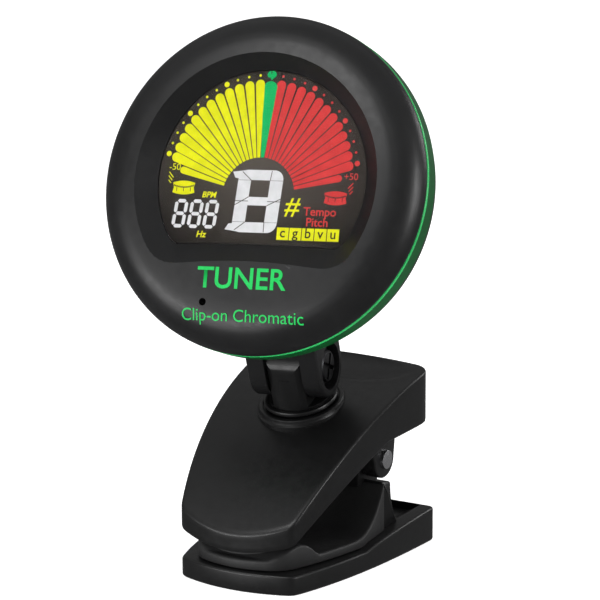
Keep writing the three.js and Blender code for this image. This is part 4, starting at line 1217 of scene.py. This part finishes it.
# ------------------------------------------------------------------ spring
def spring():
    """The torsion spring: coils about the pin and a leg to each jaw."""
    r, wire, half, turns = 2.75, 0.45, 4.1, 6
    leg_y = HINGE_Y + 7.5
    low = Vector((-half, leg_y, BASE_FLOOR + wire + 0.15))
    high = Vector((half, leg_y, arch(0, leg_y, PLATE) - wire - 0.45))
    pts = [low, low.lerp(Vector((-half, HINGE_Y, HINGE_Z - r)), 0.5)]
    sweep = -(turns - 1) * 2 * math.pi - math.pi
    for k in range(turns * 20 + 1):
        t = k / (turns * 20)
        a = -math.pi / 2 + sweep * t
        pts.append(Vector((-half + 2 * half * t, HINGE_Y + r * math.cos(a), HINGE_Z + r * math.sin(a))))
    pts += [high.lerp(Vector((half, HINGE_Y, HINGE_Z + r)), 0.5), high]
    curve = bpy.data.curves.new("spring_path", "CURVE")
    curve.dimensions = "3D"
    curve.bevel_depth = wire * MM
    curve.bevel_resolution = 4
    curve.use_fill_caps = True
    spline = curve.splines.new("POLY")
    spline.points.add(len(pts) - 1)
    for p, q in zip(spline.points, pts):
        p.co = (*(q * MM), 1)
    mesh = curve_mesh(curve, STEEL)
    for p in mesh.polygons:
        p.use_smooth = True
    obj = place("coil_spring", mesh, CLIP)
    bake(obj)
    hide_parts("torsion_spring")
    a = CLIP @ Vector((-half * MM, HINGE_Y * MM, HINGE_Z * MM))
    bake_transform(obj)


# ------------------------------------------------------------------ build
upper_jaw()
lower_jaw()
lower_pad()
pin()
spring()
post()
yoke()
front_shell()
accent_ring()
rear_cover()
door()
for name in BUTTONS:
    button(name)
display()
face_legends()

CAD_FINISH = (
    (RUBBER, "upper_pad"),
    (STEEL, "swivel_screw wave_washer microphone coin_cell negative_contact positive_contact bracket_screw_1"
            " bracket_screw_2 mode_switch up_switch down_switch"),
    (BLACK_STEEL, "tilt_nut case_screw_1 case_screw_2 case_screw_3"),
    (WHITE, "light_guide display_frame"),
    (PANEL, "lcd_panel"), (STRIP, "contact_strip"), (BOARD, "circuit_board"), (CAP, "buzzer"),
    (BRASS, "piezo_sensor"),
)
for material, names in CAD_FINISH:
    for name in names.split():
        mesh = nodes[name].data
        mesh.materials.clear()
        mesh.materials.append(material)

# ------------------------------------------------------------------ floor, light, camera
floor_mesh = bpy.data.meshes.new("floor")
floor_mesh.from_pydata([(-3, -3, 0), (3, -3, 0), (3, 3, 0), (-3, 3, 0)], [], [(0, 1, 2, 3)])
floor = place("floor", floor_mesh)
paper, nt, bsdf, coords = tree("paper")
put(nt, bsdf, {"Base Color": colours(nt, noise(nt, coords, 40.0), (0.86, 0.86, 0.86), (0.88, 0.88, 0.88)),
               "Roughness": 0.9, "Emission Color": (1, 1, 1, 1), "Emission Strength": 0.72})
floor_mesh.materials.append(paper)
floor.visible_glossy = False

world = bpy.data.worlds.new("studio")
bpy.context.scene.world = world
world.use_nodes = True
put(world.node_tree, world.node_tree.nodes["Background"], {"Color": (1, 1, 1, 1), "Strength": 0.2})


def area(name, where, target, size, power, tall=None):
    light = bpy.data.lights.new(name, "AREA")
    light.energy = power
    light.size = size
    if tall:
        light.shape = "RECTANGLE"
        light.size_y = tall
    obj = place(name, light)
    obj.location = where
    obj.rotation_euler = (Vector(target) - Vector(where)).to_track_quat("-Z", "Y").to_euler()


def sun(name, direction, strength, spread):
    light = bpy.data.lights.new(name, "SUN")
    light.energy = strength
    light.angle = math.radians(spread)
    place(name, light).rotation_euler = Vector(direction).to_track_quat("-Z", "Y").to_euler()


sun("sky_panel", (0.1, 0.15, -1.0), 0.7, 110)
area("face_panel", (-0.1, -0.5, 0.56), (0, 0, 0.06), 0.26, 2.2)
area("low_panel", (-0.26, -0.62, 0.06), (0, 0, 0.02), 0.5, 2.8, tall=0.1)
area("right_panel", (0.62, 0.0, 0.2), (0, 0, 0.06), 0.2, 2.2)
area("back_panel", (0.35, 0.55, 0.25), (0, 0, 0.05), 0.25, 1.2)

TURN, LOOK_DOWN, ROLL = math.radians(30.78), math.radians(13.97), math.radians(-0.22)
# The camera's place is measured from the middle of the clip's front corners.
EYE = clip_pos + Vector((264.89, -426.32, 168.1)) * MM
level = math.cos(LOOK_DOWN)
look = Vector((-math.sin(TURN) * level, math.cos(TURN) * level, -math.sin(LOOK_DOWN)))
right = Vector((math.cos(TURN), math.sin(TURN), 0))
upward = right.cross(look)
cam_x = math.cos(ROLL) * right + math.sin(ROLL) * upward
cam_y = -math.sin(ROLL) * right + math.cos(ROLL) * upward
cam_data = bpy.data.cameras.new("camera")
cam_data.sensor_width = 36.0
cam_data.lens = 216.0
cam_data.clip_start = 0.01
bpy.context.scene.camera = place("camera", cam_data, placement(EYE, cam_x, cam_y, -look))
bpy.context.scene.view_settings.view_transform = "Standard"
